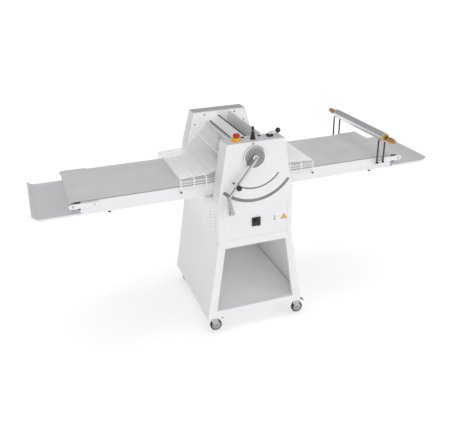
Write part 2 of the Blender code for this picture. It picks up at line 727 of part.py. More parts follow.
def wire_guard(name, side):
    """Hinged finger guard over a belt: wires along the belt, cross wires and two side skirts."""
    (hinge_x, hinge_z), (bend_x, bend_z), (edge_x, edge_z) = GUARD_HINGE, GUARD_BEND, GUARD_EDGE
    low, high = y_at(0.124), y_at(0.638)
    skirts = (y_at(0.108), y_at(0.654))
    count = round((high - low) / GUARD_PITCH)
    along = []
    for step in range(count + 1):
        y = low + (high - low) * step / count
        along.append([(side * hinge_x, y, hinge_z), (side * bend_x, y, bend_z),
                      (side * (edge_x + 0.003), y, edge_z)])
    levels = [edge_z + (GUARD_SKIRT_BOTTOM - edge_z) * step / 2 for step in range(3)]
    for y in skirts:
        for z in levels:
            along.append([(side * GUARD_SKIRT_START, y, z), (side * (edge_x + 0.003), y, z)])
    crosses = []
    for x in (GUARD_SKIRT_START + 0.003, edge_x):
        z = bend_z + (edge_z - bend_z) * (x - bend_x) / (edge_x - bend_x)
        crosses.append([(side * x, skirts[0] - 0.003, z), (side * x, skirts[1] + 0.003, z)])
    for share in (0.50, 0.985):
        x = hinge_x + (bend_x - hinge_x) * share
        z = hinge_z + (bend_z - hinge_z) * share
        crosses.append([(side * x, low - 0.003, z), (side * x, high + 0.003, z)])
    guard = wire_set(name, along, "guard_wire", origin=(side * hinge_x, 0, hinge_z))
    rungs = []
    for x in (GUARD_SKIRT_START + 0.009, edge_x - 0.006):
        for y in skirts:
            rungs.append([(side * x, y, edge_z + 0.0015), (side * x, y, GUARD_SKIRT_BOTTOM - 0.003)])
    join(guard, wire_set("cross_wires", crosses, None))
    join(guard, wire_set("rungs", rungs, None))
    hinge_rod = rod("hinge_rod", (side * hinge_x, y_at(HEAD_DEPTH) + GAP, hinge_z),
                    (side * hinge_x, y_at(REAR_HEAD) - GAP, hinge_z), 0.004, None, sides=12)
    join(guard, hinge_rod)
    return guard


# ---------------------------------------------------------------- rolling pin
def rolling_pin():
    """Steel tube that turns on a rod between two turned wooden handles."""
    low, high = y_at(PIN_FRONT), y_at(PIN_BACK)
    centre = (PIN_X, MIDDLE, PIN_Z)
    tube = rod("pin_tube", (PIN_X, low, PIN_Z), (PIN_X, high, PIN_Z), PIN_R, "chrome",
               origin=centre)
    cut(tube, rod("bore", (PIN_X, low - 0.01, PIN_Z), (PIN_X, high + 0.01, PIN_Z), 0.0085, None))
    handles = rod("pin_handles", (PIN_X, low - 0.010, PIN_Z), (PIN_X, high + 0.010, PIN_Z), 0.008,
                  "wood", origin=centre, sides=16)
    for end, sign in ((low, -1), (high, 1)):
        join(handles, turned("handle", HANDLE_PROFILE, (PIN_X, end, PIN_Z), (0, sign, 0), None))


def pin_bracket(name, y, spacer_end):
    """U-shaped rod that holds one end of the rolling pin above the table's rail."""
    touch = math.sqrt((PIN_R + BRACKET_R + GAP) ** 2 - BRACKET_HALF ** 2)
    top = PIN_Z - touch - 2 * GAP
    left, right = PIN_X - BRACKET_HALF, PIN_X + BRACKET_HALF
    corner = 0.012
    path = [(left, y, top)]
    for step in range(5):
        angle = math.pi + math.pi / 2 * step / 4
        path.append((left + corner + corner * math.cos(angle), y,
                     BRACKET_FOOT + corner + corner * math.sin(angle)))
    for step in range(5):
        angle = 1.5 * math.pi + math.pi / 2 * step / 4
        path.append((right - corner + corner * math.cos(angle), y,
                     BRACKET_FOOT + corner + corner * math.sin(angle)))
    path.append((right, y, top))
    bracket = tube_path(name, path, BRACKET_R, "steel")
    start, end = sorted((y - (0.005 if spacer_end > y else -0.005), spacer_end))
    join(bracket, rod("bolt", (PIN_X, start, BRACKET_FOOT), (PIN_X, end, BRACKET_FOOT), 0.009, None,
                      sides=16))
    return bracket


def pin_brackets():
    front_arm, back_arm = y_at(RAIL_FRONT - 0.0175), y_at(RAIL_BACK + 0.0175)
    pin_bracket("front_pin_bracket", front_arm - 0.008, front_arm - GAP)
    pin_bracket("rear_pin_bracket", back_arm + 0.008, back_arm + GAP)


# ---------------------------------------------------------------- controls
def along_lever(distance, across=0.0, y=0.0):
    """A point on the lever, from the pivot along it and across it, towards the outside."""
    down = Vector((math.sin(LEVER_ANGLE), 0, -math.cos(LEVER_ANGLE)))
    out = Vector((-math.cos(LEVER_ANGLE), 0, -math.sin(LEVER_ANGLE)))
    place = Vector((PIVOT_X, 0, PIVOT_Z)) + down * distance + out * across
    return (place.x, y, place.z)


def thickness_lever():
    pivot = (PIVOT_X, y_at(0), PIVOT_Z)
    dial = rod("dial_disc", (PIVOT_X, y_at(-0.0115), PIVOT_Z), (PIVOT_X, y_at(-0.0035), PIVOT_Z),
               0.067, "steel", origin=pivot, sides=48)
    join(dial, rod("shaft", (PIVOT_X, y_at(-0.004), PIVOT_Z), (PIVOT_X, y_at(0.068), PIVOT_Z),
                   0.012, None))
    arm_y = y_at(-0.036)
    arm = tube_path("lever_arm", [(PIVOT_X, y_at(-0.0125), PIVOT_Z), (PIVOT_X, arm_y, PIVOT_Z),
                                  along_lever(LEVER_REACH, 0, arm_y)], 0.007, "chrome",
                    origin=pivot, resolution=2)
    join(arm, rod("hub", (PIVOT_X, y_at(-0.0118), PIVOT_Z), (PIVOT_X, y_at(-0.026), PIVOT_Z),
                  0.017, None))
    top = Vector(along_lever(LEVER_REACH + 0.010, 0.0, arm_y))
    bottom = top + Vector((0.010, -0.022, -0.096))
    centre = along_lever(INNER_ARC)
    join(arm, rod("grip", top, bottom, 0.0115, None, end_radius=0.021),
         ball("elbow", top, 0.0122, None, sides=12),
         rod("index_housing", (centre[0], y_at(-0.046), centre[2]),
             (centre[0], y_at(-0.016), centre[2]), 0.013, None))
    bore = rod("index_bore", (centre[0], y_at(-0.060), centre[2]),
               (centre[0], y_at(-0.006), centre[2]), 0.0045, None, sides=12)
    cut(arm, bore)
    return arm


def index_plunger():
    """Spring pin that drops into the index track, with a round black pull knob."""
    x, _, z = along_lever(INNER_ARC)
    knob = ball("index_plunger", (x, y_at(-0.0635), z), 0.0165, "black_plastic",
                origin=(x, y_at(-0.0635), z), sides=16)
    join(knob, rod("index_pin", (x, y_at(-0.060), z), (x, y_at(0.0005), z), 0.0040, None,
                   sides=12))
    return knob


def main_switch():
    y = y_at(0)
    plate = box("main_switch_plate", (-0.028, y - 0.006, 0.730), (0.028, y - GAP, 0.786),
                "black_plastic")
    join(plate, box("switch_body", (-0.0190, y - 0.001, 0.7390), (0.0190, y + 0.016, 0.7770), None))
    centre = (0, y, 0.758)
    knob = rod("main_switch_knob", (0, y - 0.0063, 0.758), (0, y - 0.012, 0.758), 0.016,
               "black_plastic", origin=centre)
    join(knob, box("grip", (-0.005, y - 0.026, 0.736), (0.005, y - 0.011, 0.772), None))


def emergency_stop():
    x, y = -0.100, y_at(0.055)
    base = rod("emergency_stop_base", (x, y, HEAD_TOP + GAP), (x, y, HEAD_TOP + 0.020), 0.026,
               "yellow_plastic", end_radius=0.023)
    bore = rod("bore", (x, y, HEAD_TOP + 0.006), (x, y, HEAD_TOP + 0.03), 0.0105, None)
    cut(base, bore)
    button = rod("emergency_stop_button", (x, y, HEAD_TOP + 0.0255), (x, y, HEAD_TOP + 0.041),
                 0.0205, "red_plastic", end_radius=0.0165)
    join(button, rod("stem", (x, y, HEAD_TOP + 0.012), (x, y, HEAD_TOP + 0.026), 0.0095, None))


def joystick():
    """Belt direction lever, which tilts about a ball on its rubber boot."""
    x, y, boot_top, ball_r = -0.002, y_at(0.050), HEAD_TOP + 0.022, 0.0095
    rod("joystick_boot", (x, y, HEAD_TOP + GAP), (x, y, boot_top), 0.021, "rubber",
        end_radius=0.013, sides=16)
    pivot = (x, y, boot_top + GAP + ball_r)
    stick = ball("joystick_lever", pivot, ball_r, "black_plastic", origin=pivot, sides=16)
    join(stick, rod("stick", pivot, (x, y, HEAD_TOP + 0.074), 0.009, None, end_radius=0.007,
                    sides=16))


def clamp_lever():
    """Ball-ended lever on a square base."""
    x, y, z = 0.109, y_at(0.063), HEAD_TOP
    box("clamp_lever_base", (x - 0.017, y - 0.017, z + GAP), (x + 0.017, y + 0.017, z + 0.012),
        "black_plastic")
    pivot = (x, y, z + 0.0123)
    lever = rod("clamp_lever", (x, y, z + 0.0123), (x, y, z + 0.022), 0.011, "chrome",
                origin=pivot, sides=16)
    tip = Vector((x + 0.051, y, z + 0.044))
    join(lever, rod("clamp_rod", (x, y, z + 0.019), tip, 0.004, None, sides=12),
         ball("clamp_ball", tip, 0.0155, None, sides=12))


# ---------------------------------------------------------------- casters
def caster(name, side, place, brake):
    """Swivel fork, wheel and, at the front, a brake pedal."""
    x, y = side * CASTER_X, y_at(place)
    top = STAND_BOTTOM - 0.003 - GAP
    swivel = (x, y, top)
    hub = (x + CASTER_TRAIL, y, WHEEL_R)
    fork = rod("caster_fork_" + name, (x, y, top - 0.016), (x, y, top), 0.021, "zinc",
               origin=swivel, sides=20)
    crown_low, crown_high = top - 0.0195, top - 0.0125
    join(fork, box("crown", (x - 0.020, y - 0.0185, crown_low),
                   (x + CASTER_TRAIL + 0.012, y + 0.0185, crown_high), None))
    for sign in (-1, 1):
        cheek = [(x - 0.014, crown_high - 0.002), (x + CASTER_TRAIL + 0.012, crown_high - 0.002),
                 (x + CASTER_TRAIL + 0.009, WHEEL_R - 0.010), (x + CASTER_TRAIL - 0.009, WHEEL_R - 0.010)]
        sides = sorted((y + sign * 0.0155, y + sign * 0.0185))
        join(fork, prism("cheek", [cheek], "xz", *sides, None))
    axle = rod("axle", (hub[0], y - 0.0220, hub[2]), (hub[0], y + 0.0220, hub[2]), 0.0050, None,
               sides=12)
    join(fork, axle)
    wheel = rod("caster_wheel_" + name, (hub[0], y - WHEEL_WIDTH / 2, hub[2]),
                (hub[0], y + WHEEL_WIDTH / 2, hub[2]), WHEEL_R, "rubber", origin=hub, sides=32)
    cut(wheel, rod("bore", (hub[0], y - 0.02, hub[2]), (hub[0], y + 0.02, hub[2]), 0.0056, None,
                   sides=12))
    if brake:
        hinge_x = x + CASTER_TRAIL + 0.0140
        box("caster_brake_" + name, (hinge_x, y - 0.015, top - 0.0185),
            (hinge_x + 0.0275, y + 0.015, top - 0.0125), "black_plastic",
            origin=(hinge_x, y, top - 0.0155))


def build():
    stand_side("stand_left_panel", -1)
    stand_side("stand_right_panel", 1)
    stand_front()
    stand_back()
    stand_shelf()
    waist_deck()
    switch_panel()
    table_support("left_table_support", -1)
    table_support("right_table_support", 1)
    front_head_cover()
    index_arc_plate()
    head_plates()
    rear_head_cover()
    top_covers()
    sheeting_rollers()
    roller_carriage()
    drive()
    conveyor_table("left", -1)
    conveyor_table("right", 1)
    rolling_pin()
    pin_brackets()
    thickness_lever()
    index_plunger()
    main_switch()
    emergency_stop()
    joystick()
    clamp_lever()
    for name, side, place in (("front_left", -1, CASTER_FRONT), ("front_right", 1, CASTER_FRONT),
                              ("rear_left", -1, CASTER_BACK), ("rear_right", 1, CASTER_BACK)):
        caster(name, side, place, brake=place == CASTER_FRONT)


build()
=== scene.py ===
"""Looks of the dough sheeter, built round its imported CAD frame.

Metres, +Z up, the operator stands at -Y. Places come from the CAD nodes' boxes and the joints,
or are given as distances behind the machine's front face.
"""
import json
import math

import bmesh
import bpy
from mathutils import Matrix, Vector

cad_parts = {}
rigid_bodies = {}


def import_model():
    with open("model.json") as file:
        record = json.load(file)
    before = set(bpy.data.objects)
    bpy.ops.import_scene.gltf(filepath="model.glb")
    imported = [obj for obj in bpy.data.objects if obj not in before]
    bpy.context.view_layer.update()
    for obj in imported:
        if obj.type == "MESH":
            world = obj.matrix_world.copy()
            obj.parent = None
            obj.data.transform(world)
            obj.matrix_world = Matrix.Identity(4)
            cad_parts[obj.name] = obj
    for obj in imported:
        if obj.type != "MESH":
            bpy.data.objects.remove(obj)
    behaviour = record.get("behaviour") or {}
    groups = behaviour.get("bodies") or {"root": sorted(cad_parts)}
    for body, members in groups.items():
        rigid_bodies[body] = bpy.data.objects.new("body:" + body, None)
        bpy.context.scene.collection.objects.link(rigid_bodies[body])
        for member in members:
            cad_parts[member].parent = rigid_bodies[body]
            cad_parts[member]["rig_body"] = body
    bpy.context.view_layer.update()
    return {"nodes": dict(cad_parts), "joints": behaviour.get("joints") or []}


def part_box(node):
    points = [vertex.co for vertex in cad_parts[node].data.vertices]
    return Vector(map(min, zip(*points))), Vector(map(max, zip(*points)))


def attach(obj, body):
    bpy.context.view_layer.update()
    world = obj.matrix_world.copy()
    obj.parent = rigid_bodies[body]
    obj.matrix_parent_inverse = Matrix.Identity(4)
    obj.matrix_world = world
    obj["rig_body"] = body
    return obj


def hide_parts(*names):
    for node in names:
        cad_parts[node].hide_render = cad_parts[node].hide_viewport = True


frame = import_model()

NODES = frame["nodes"]
JOINTS = {joint["name"]: joint for joint in frame["joints"]}

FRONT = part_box("switch_panel")[0].y                 # the machine's front face
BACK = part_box("stand_back_panel")[1].y
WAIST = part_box("switch_panel")[0].z                 # where the stand's sides bend
WAIST_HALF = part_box("rear_head_cover")[1].x         # half of the width above the waist
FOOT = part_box("stand_right_panel")[0].z             # bottom of the stand's sides
FOOT_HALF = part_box("stand_right_panel")[1].x        # half of the width at the foot
HEAD_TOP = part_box("front_head_cover")[1].z
RAIL_FRONT, RAIL_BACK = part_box("left_table_frame")[0].y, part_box("left_table_frame")[1].y
LEVER = Vector(JOINTS["thickness_lever_turn"]["pos_m"])
INDEX = (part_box("index_plunger")[0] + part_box("index_plunger")[1]) / 2

SIDES = (("left", -1), ("right", 1))
ENDS = (("front", -1), ("back", 1))
SHEET = 0.0028                      # thickness of the stand's sheet steel
VENT_RADIUS = 0.004
VENTS = [(behind, 0.700 + 0.020 * step) for behind in (0.062, 0.147) for step in range(7)]
GAP_FRONT, GAP_BACK = 0.1175, 0.6445    # just inside the heads, behind the front face
GUARD_BEND = (0.235, 1.058)         # x and z of the fold on the right guard
GUARD_EDGE = 1.050                  # height of the guards' outer edge
GUARD_PITCH = 0.0176
FINE_WIRE, CROSS_WIRE = 0.0025, 0.0029
ROD = 0.0052                        # radius of the pin brackets' rods
BALL = 0.0095                       # radius of the joystick's ball pivot


def y_at(behind):
    """The y of a place given by its distance behind the front face."""
    return FRONT + behind


# ---------------------------------------------------------------- materials
def add_node(tree, kind, **values):
    """A shader node with its inputs, or else its settings, set by name."""
    node = tree.nodes.new(kind)
    for name, value in values.items():
        if name in node.inputs:
            node.inputs[name].default_value = value
        else:
            setattr(node, name, value)
    return node


def blank_material(name, metallic):
    """A new material, its node tree, its shader and the object coordinates."""
    material = bpy.data.materials.new(name)
    material.use_nodes = True
    tree = material.node_tree
    shader = tree.nodes["Principled BSDF"]
    shader.inputs["Metallic"].default_value = metallic
    place = add_node(tree, "ShaderNodeTexCoord")
    return material, tree, shader, place.outputs["Object"]


def stretched(tree, place, stretch):
    mapping = add_node(tree, "ShaderNodeMapping", Scale=stretch)
    tree.links.new(place, mapping.inputs["Vector"])
    return mapping.outputs["Vector"]


def noise(tree, place, scale, detail=3.0):
    texture = add_node(tree, "ShaderNodeTexNoise", Scale=scale, Detail=detail)
    tree.links.new(place, texture.inputs["Vector"])
    return texture.outputs["Fac"]


def spread(tree, value, low, high, start=0.3, end=0.7):
    """A number that runs from low to high as a noise value does."""
    ranged = add_node(tree, "ShaderNodeMapRange")
    for place, number in enumerate((start, end, low, high), start=1):
        ranged.inputs[place].default_value = number
    tree.links.new(value, ranged.inputs[0])
    return ranged.outputs[0]


def two_tone(tree, value, dark, light, start=0.35, end=0.65):
    """A colour that runs from dark to light as a value does."""
    ramp = add_node(tree, "ShaderNodeValToRGB")
    ramp.color_ramp.elements[0].position = start
    ramp.color_ramp.elements[0].color = (*dark, 1)
    ramp.color_ramp.elements[1].position = end
    ramp.color_ramp.elements[1].color = (*light, 1)
    tree.links.new(value, ramp.inputs["Fac"])
    return ramp.outputs["Color"]


def bumped(tree, shader, height, strength, depth):
    bump = add_node(tree, "ShaderNodeBump", Strength=strength, Distance=depth)
    tree.links.new(height, bump.inputs["Height"])
    tree.links.new(bump.outputs["Normal"], shader.inputs["Normal"])


def shaded(color, share):
    return tuple(min(1.0, channel * share) for channel in color)


def surface(name, color, roughness, metallic=0.0, grain=700.0, strength=0.15, depth=0.0002,
            tint=0.03, patch=5.0, stretch=(1, 1, 1), coat=0.0):
    """A finish with a fine grain in its bump and broad patches in its colour and roughness."""
    material, tree, shader, place = blank_material(name, metallic)
    fine = noise(tree, stretched(tree, place, stretch), grain)
    broad = noise(tree, place, patch, 4.0)
    tree.links.new(two_tone(tree, broad, shaded(color, 1 - tint), shaded(color, 1 + tint)),
                   shader.inputs["Base Color"])
    tree.links.new(spread(tree, fine, roughness * 0.85, roughness * 1.15),
                   shader.inputs["Roughness"])
    bumped(tree, shader, fine, strength, depth)
    shader.inputs["Coat Weight"].default_value = coat
    return material


def woven_belt(name):
    """Coated conveyor fabric: a fine weave under a dull coat, with a trace of flour."""
    material, tree, shader, place = blank_material(name, 0.0)
    threads = []
    for direction in ("X", "Y"):
        wave = add_node(tree, "ShaderNodeTexWave", Scale=210.0, Distortion=0.4, Detail=1.0)
        wave.bands_direction = direction
        tree.links.new(place, wave.inputs["Vector"])
        threads.append(wave.outputs["Fac"])
    weave = add_node(tree, "ShaderNodeMath", operation="MAXIMUM")
    for socket, thread in zip(weave.inputs, threads):
        tree.links.new(thread, socket)
    flour = noise(tree, place, 7.0, 6.0)
    tree.links.new(two_tone(tree, flour, (0.83, 0.83, 0.835), (0.88, 0.88, 0.885)),
                   shader.inputs["Base Color"])
    tree.links.new(spread(tree, flour, 0.62, 0.78), shader.inputs["Roughness"])
    bumped(tree, shader, weave.outputs[0], 0.25, 0.0003)
    return material


def turned_wood(name, dark, light):
    """Oiled hardwood with its grain along Y."""
    material, tree, shader, place = blank_material(name, 0.0)
    along = stretched(tree, place, (1.0, 0.08, 1.0))
    rings = add_node(tree, "ShaderNodeTexWave", Scale=55.0, Distortion=5.0, Detail=3.0)
    rings.wave_type = "RINGS"
    rings.rings_direction = "Y"
    tree.links.new(along, rings.inputs["Vector"])
    pores = noise(tree, along, 900.0, 4.0)
    tree.links.new(two_tone(tree, rings.outputs["Fac"], dark, light, 0.2, 0.8),
                   shader.inputs["Base Color"])
    tree.links.new(spread(tree, pores, 0.38, 0.58), shader.inputs["Roughness"])
    bumped(tree, shader, pores, 0.2, 0.0002)
    return material


def zinc_spangle(name):
    """Plated steel with crystal patches."""
    material, tree, shader, place = blank_material(name, 1.0)
    cells = add_node(tree, "ShaderNodeTexVoronoi", Scale=260.0)
    tree.links.new(place, cells.inputs["Vector"])
    tree.links.new(two_tone(tree, cells.outputs["Distance"], (0.36, 0.37, 0.38),
                            (0.55, 0.56, 0.57), 0.1, 0.7), shader.inputs["Base Color"])
    tree.links.new(spread(tree, noise(tree, place, 120.0), 0.28, 0.45), shader.inputs["Roughness"])
    return material


# each finish: its material and the record's slot that it belongs to
FINISHES = {
    "paint": (surface("white_powder_coat", (0.84, 0.84, 0.85), 0.42, tint=0.012, coat=0.1),
              "white_paint"),
    # gray paint for the rear head's top: painted shade, where less light falls from above
    "shade_gray_paint": (surface("painted_shade_gray_coat", (0.55, 0.55, 0.55), 0.45, tint=0.02, coat=0.1),
                   "white_paint"),
    "wire": (surface("white_wire_coat", (0.95, 0.95, 0.95), 0.30, tint=0.01, coat=0.3),
             "guard_wire"),
    "steel": (surface("satin_steel", (0.58, 0.58, 0.59), 0.33, 1.0, grain=40.0, tint=0.05,
                      stretch=(1, 25, 1), strength=0.08), "steel"),
    # darkened steel for the flour tray: painted shade in the trough between the covers
    "trough_shade_steel": (surface("painted_shade_satin_steel", (0.20, 0.195, 0.19), 0.38, 1.0, grain=60.0,
                           tint=0.08, stretch=(1, 20, 1), strength=0.08), "steel"),
    "dial_steel": (surface("brushed_dial_face", (0.30, 0.29, 0.285), 0.42, 1.0, grain=60.0,
                           tint=0.06, stretch=(25, 1, 1), strength=0.08), "steel"),
    # darkened steel for the lever's arc slots: painted shade in the slots' recesses
    "slot_shade_steel": (surface("painted_shade_slot_plate", (0.27, 0.265, 0.26), 0.50, 0.6, grain=80.0,
                           tint=0.10, stretch=(12, 1, 1), strength=0.08), "steel"),
    "black_steel": (surface("blackened_steel", (0.075, 0.070, 0.068), 0.34, 0.8, grain=300.0,
                            tint=0.15, strength=0.1), "steel"),
    "turned_steel": (surface("turned_steel_tube", (0.74, 0.74, 0.75), 0.28, 1.0, grain=25.0,
                             tint=0.04, stretch=(1, 40, 1), strength=0.10), "chrome"),
    "chrome": (surface("bright_chrome", (0.82, 0.82, 0.83), 0.08, 1.0, grain=300.0, tint=0.02,
                       strength=0.01), "chrome"),
    "lever_chrome": (surface("handled_chrome", (0.60, 0.60, 0.61), 0.22, 1.0, grain=260.0,
                             tint=0.06, strength=0.02), "chrome"),
    "belt": (woven_belt("conveyor_fabric"), "belt_fabric"),
    "black": (surface("black_plastic_grain", (0.016, 0.016, 0.017), 0.42, grain=1600.0, tint=0.2,
                      strength=0.2), "black_plastic"),
    "rubber": (surface("dark_rubber", (0.035, 0.035, 0.036), 0.75, grain=1100.0, tint=0.2,
                       strength=0.3), "rubber"),
    "hub": (surface("gray_wheel_hub", (0.42, 0.42, 0.43), 0.5, grain=900.0, tint=0.05), "rubber"),
    "zinc": (zinc_spangle("zinc_spangle"), "zinc"),
    "red": (surface("red_gloss_plastic", (0.62, 0.018, 0.010), 0.28, tint=0.06, strength=0.04),
            "red_plastic"),
    "yellow": (surface("yellow_gloss_plastic", (0.90, 0.52, 0.015), 0.34, tint=0.05,
                       strength=0.04), "yellow_plastic"),
    "label_green": (surface("green_label_print", (0.30, 0.42, 0.30), 0.5, tint=0.05),
                    "white_paint"),
    "label_gray": (surface("gray_label_print", (0.45, 0.45, 0.46), 0.5, tint=0.05),
                   "white_paint"),
    "wood": (turned_wood("oiled_hardwood", (0.40, 0.16, 0.035), (0.66, 0.33, 0.09)), "wood"),
    "light_wood": (turned_wood("pale_end_grain", (0.55, 0.36, 0.16), (0.74, 0.55, 0.30)), "wood"),
    "motor": (surface("cast_motor_paint", (0.28, 0.29, 0.31), 0.55, grain=300.0, strength=0.4,
                      tint=0.08), "motor_gray"),
}


# ---------------------------------------------------------------- mesh helpers
def add(name, mesh, finish, body, angle=38):
    """Put a mesh that is in the row frame in the scene, riding on a CAD body."""
    material, slot = FINISHES[finish]
    thing = bpy.data.objects.new(name, mesh)
    bpy.context.scene.collection.objects.link(thing)
    mesh.materials.clear()
    mesh.materials.append(material)
    mesh.shade_smooth()
    mesh.set_sharp_from_angle(angle=math.radians(angle))
    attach(thing, body)
    flat = thing.modifiers.new("flat_faces", "WEIGHTED_NORMAL")
    flat.keep_sharp, flat.weight = True, 100
    return thing


def to_mesh(name, solid):
    """A mesh made from a bmesh solid, with its faces turned outwards."""
    bmesh.ops.recalc_face_normals(solid, faces=solid.faces)
    mesh = bpy.data.meshes.new(name)
    solid.to_mesh(mesh)
    solid.free()
    return mesh


def bevelled(solid, width, angle=30, segments=2):
    """Round every edge that is sharper than the angle."""
    limit = math.radians(angle)
    edges = [edge for edge in solid.edges
             if len(edge.link_faces) == 2 and edge.calc_face_angle() > limit]
    bmesh.ops.bevel(solid, geom=edges, offset=width, offset_type="OFFSET", segments=segments,
                    profile=0.5, affect="EDGES", clamp_overlap=True)


def refined(node, finish, width=0.0008, angle=38, merge=True):
    """A CAD node's own shape with softly rounded edges, which stands for the node."""
    solid = bmesh.new()
    solid.from_mesh(NODES[node].data)
    bmesh.ops.remove_doubles(solid, verts=solid.verts, dist=0.00002)
    if merge:
        bmesh.ops.dissolve_limit(solid, angle_limit=math.radians(1), verts=solid.verts,
                                 edges=solid.edges)
    if width:
        bevelled(solid, width)
    piece = add(node + "_skin", to_mesh(node, solid), finish, NODES[node]["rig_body"], angle)
    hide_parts(node)
    return piece


def block(name, low, high, finish, body, width=0.001, turn=None):
    """A box with rounded edges, turned about its own centre if asked."""
    low, high = Vector(low), Vector(high)
    solid = bmesh.new()
    bmesh.ops.create_cube(solid, size=1.0)
    bmesh.ops.scale(solid, vec=high - low, verts=solid.verts)
    bevelled(solid, width, segments=3)
    place = Matrix.Translation((low + high) / 2)
    bmesh.ops.transform(solid, matrix=place @ (turn or Matrix.Identity(4)), verts=solid.verts)
    return add(name, to_mesh(name, solid), finish, body)


def spun(name, profile, place, direction, finish, body, steps=40, angle=38):
    """A shape turned about an axis, from (radius, height) pairs on its outline."""
    solid = bmesh.new()
    verts = [solid.verts.new((radius, 0, height)) for radius, height in profile]
    edges = [solid.edges.new(pair) for pair in zip(verts, verts[1:])]
    bmesh.ops.spin(solid, geom=verts + edges, cent=(0, 0, 0), axis=(0, 0, 1),
                   angle=2 * math.pi, steps=steps, use_merge=False)
    bmesh.ops.remove_doubles(solid, verts=solid.verts, dist=0.00001)
    turn = Vector((0, 0, 1)).rotation_difference(Vector(direction)).to_matrix().to_4x4()
    bmesh.ops.transform(solid, matrix=Matrix.Translation(place) @ turn, verts=solid.verts)
    return add(name, to_mesh(name, solid), finish, body, angle)


def rounded_profile(corners, radius, steps=3):
    """Outline points with each inner corner turned into a small arc."""
    points = [Vector(corner) for corner in corners]
    result = [points[0]]
    for before, corner, after in zip(points, points[1:], points[2:]):
        back, on = (before - corner), (after - corner)
        reach = min(radius, back.length * 0.45, on.length * 0.45)
        start, end = corner + back.normalized() * reach, corner + on.normalized() * reach
        for step in range(steps + 1):
            share = step / steps
            result.append(start * (1 - share) ** 2 + corner * 2 * share * (1 - share)
                          + end * share ** 2)
    result.append(points[-1])
    return result


def rounded_pairs(pairs, radius, steps=3):
    """The same for (radius, height) pairs."""
    return [(x, z) for x, z, _ in rounded_profile([(x, z, 0) for x, z in pairs], radius, steps)]


def wires(name, paths, radius, finish, body, sides=3):
    """Round wires along paths, as one mesh."""
    curve = bpy.data.curves.new(name, "CURVE")
    curve.dimensions = "3D"
    curve.bevel_depth = radius
    curve.bevel_resolution = sides - 1
    curve.use_fill_caps = True
    for path in paths:
        spline = curve.splines.new("POLY")
        spline.points.add(len(path) - 1)
        for point, place in zip(spline.points, path):
            point.co = (*place, 1)
    guide = bpy.data.objects.new(name, curve)
    bpy.context.scene.collection.objects.link(guide)
    bpy.context.view_layer.update()
    mesh = bpy.data.meshes.new_from_object(guide.evaluated_get(
        bpy.context.evaluated_depsgraph_get()))
    bpy.data.objects.remove(guide, do_unlink=True)
    mesh.name = name
    return add(name, mesh, finish, body, 60)


def slab(name, outline, low, high, finish, body, width=0.0005):
    """A flat outline in the XZ plane, made as thick as from low to high in y."""
    solid = bmesh.new()
    face = solid.faces.new([solid.verts.new((x, low, z)) for x, z in outline])
    raised = bmesh.ops.extrude_face_region(solid, geom=[face])["geom"]
    verts = [item for item in raised if isinstance(item, bmesh.types.BMVert)]
    bmesh.ops.translate(solid, vec=(0, high - low, 0), verts=verts)
    bmesh.ops.recalc_face_normals(solid, faces=solid.faces)
    if width:
        bevelled(solid, width)
    return add(name, to_mesh(name, solid), finish, body)


def screw(name, place, direction, radius, finish, body):
    """A pan-head screw with a hex socket's dark hollow."""
    height = radius * 0.55
    profile = [(0, -0.0002), (radius, -0.0002), (radius, height * 0.5), (radius * 0.8, height),
               (radius * 0.42, height), (radius * 0.38, height * 0.2), (0, height * 0.2)]
    return spun(name, profile, place, direction, finish, body, steps=18, angle=45)


# ---------------------------------------------------------------- stand
def side_section(depth, thick, flange, radius):
    """Cross-section of a side panel: inset from its outer skin and distance from its front."""
    def skin(inset, bend):
        points = [(flange, inset)]
        for centre_y, start in ((inset + bend, 0.0), (depth - inset - bend, math.pi / 2)):
            for step in range(7):
                angle = start + math.pi / 2 * step / 6
                points.append((inset + bend - bend * math.sin(angle),
                               centre_y - bend * math.cos(angle)))
        points.append((flange, depth - inset))
        return points
    return skin(0.0, radius) + list(reversed(skin(thick, radius - thick)))


def side_half(z):
    """Half of the stand's width at a height below the waist."""
    return WAIST_HALF + (FOOT_HALF - WAIST_HALF) * (WAIST - z) / (WAIST - FOOT)


def side_panel(name, side):
    """Side of the stand with rolled front and back corners, bent inwards up to the waist."""
    node = f"stand_{name}_panel"
    low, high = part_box(node)
    section = side_section(high.y - low.y, SHEET, 0.032, 0.011)
    bend = 0.012
    levels = [(low.z, FOOT_HALF), (WAIST - bend, side_half(WAIST - bend)),
              (WAIST, WAIST_HALF + 0.0006), (WAIST + bend, WAIST_HALF), (high.z, WAIST_HALF)]
    solid = bmesh.new()
    rings = []
    for z, half in levels:
        rings.append([solid.verts.new((side * (half - inset), low.y + behind, z))
                      for inset, behind in section])
    for ring, above in zip(rings, rings[1:]):
        for step in range(len(ring)):
            other = (step + 1) % len(ring)
            solid.faces.new((ring[step], ring[other], above[other], above[step]))
    solid.faces.new(rings[0])
    solid.faces.new(rings[-1])
    panel = add(node + "_skin", to_mesh(node, solid), "paint", "frame")
    punch(panel, side)
    vent_shade_plugs(name, side)
    upstand(node, side, high.z)
    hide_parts(node)


def upstand(node, side, top):
    """Strip of the side's sheet that stands up between the heads, below the rails."""
    left, right = sorted((side * WAIST_HALF, side * (WAIST_HALF - SHEET)))
    block(node + "_upstand", (left, y_at(0.1200), top + 0.0003), (right, y_at(0.6420), 0.9140),
          "paint", "frame", 0.0005)


def vent_shade_plugs(name, side):
    """Dark plugs that fill the vent holes: painted shade inside the holes."""
    inside, outside = side * (WAIST_HALF - 0.0030), side * (WAIST_HALF + 0.0002)
    wires(f"vent_shade_plugs_{name}",
          [[(inside, y_at(behind), z), (outside, y_at(behind), z)] for behind, z in VENTS],
          VENT_RADIUS - 0.0004, "rubber", "frame", 4)


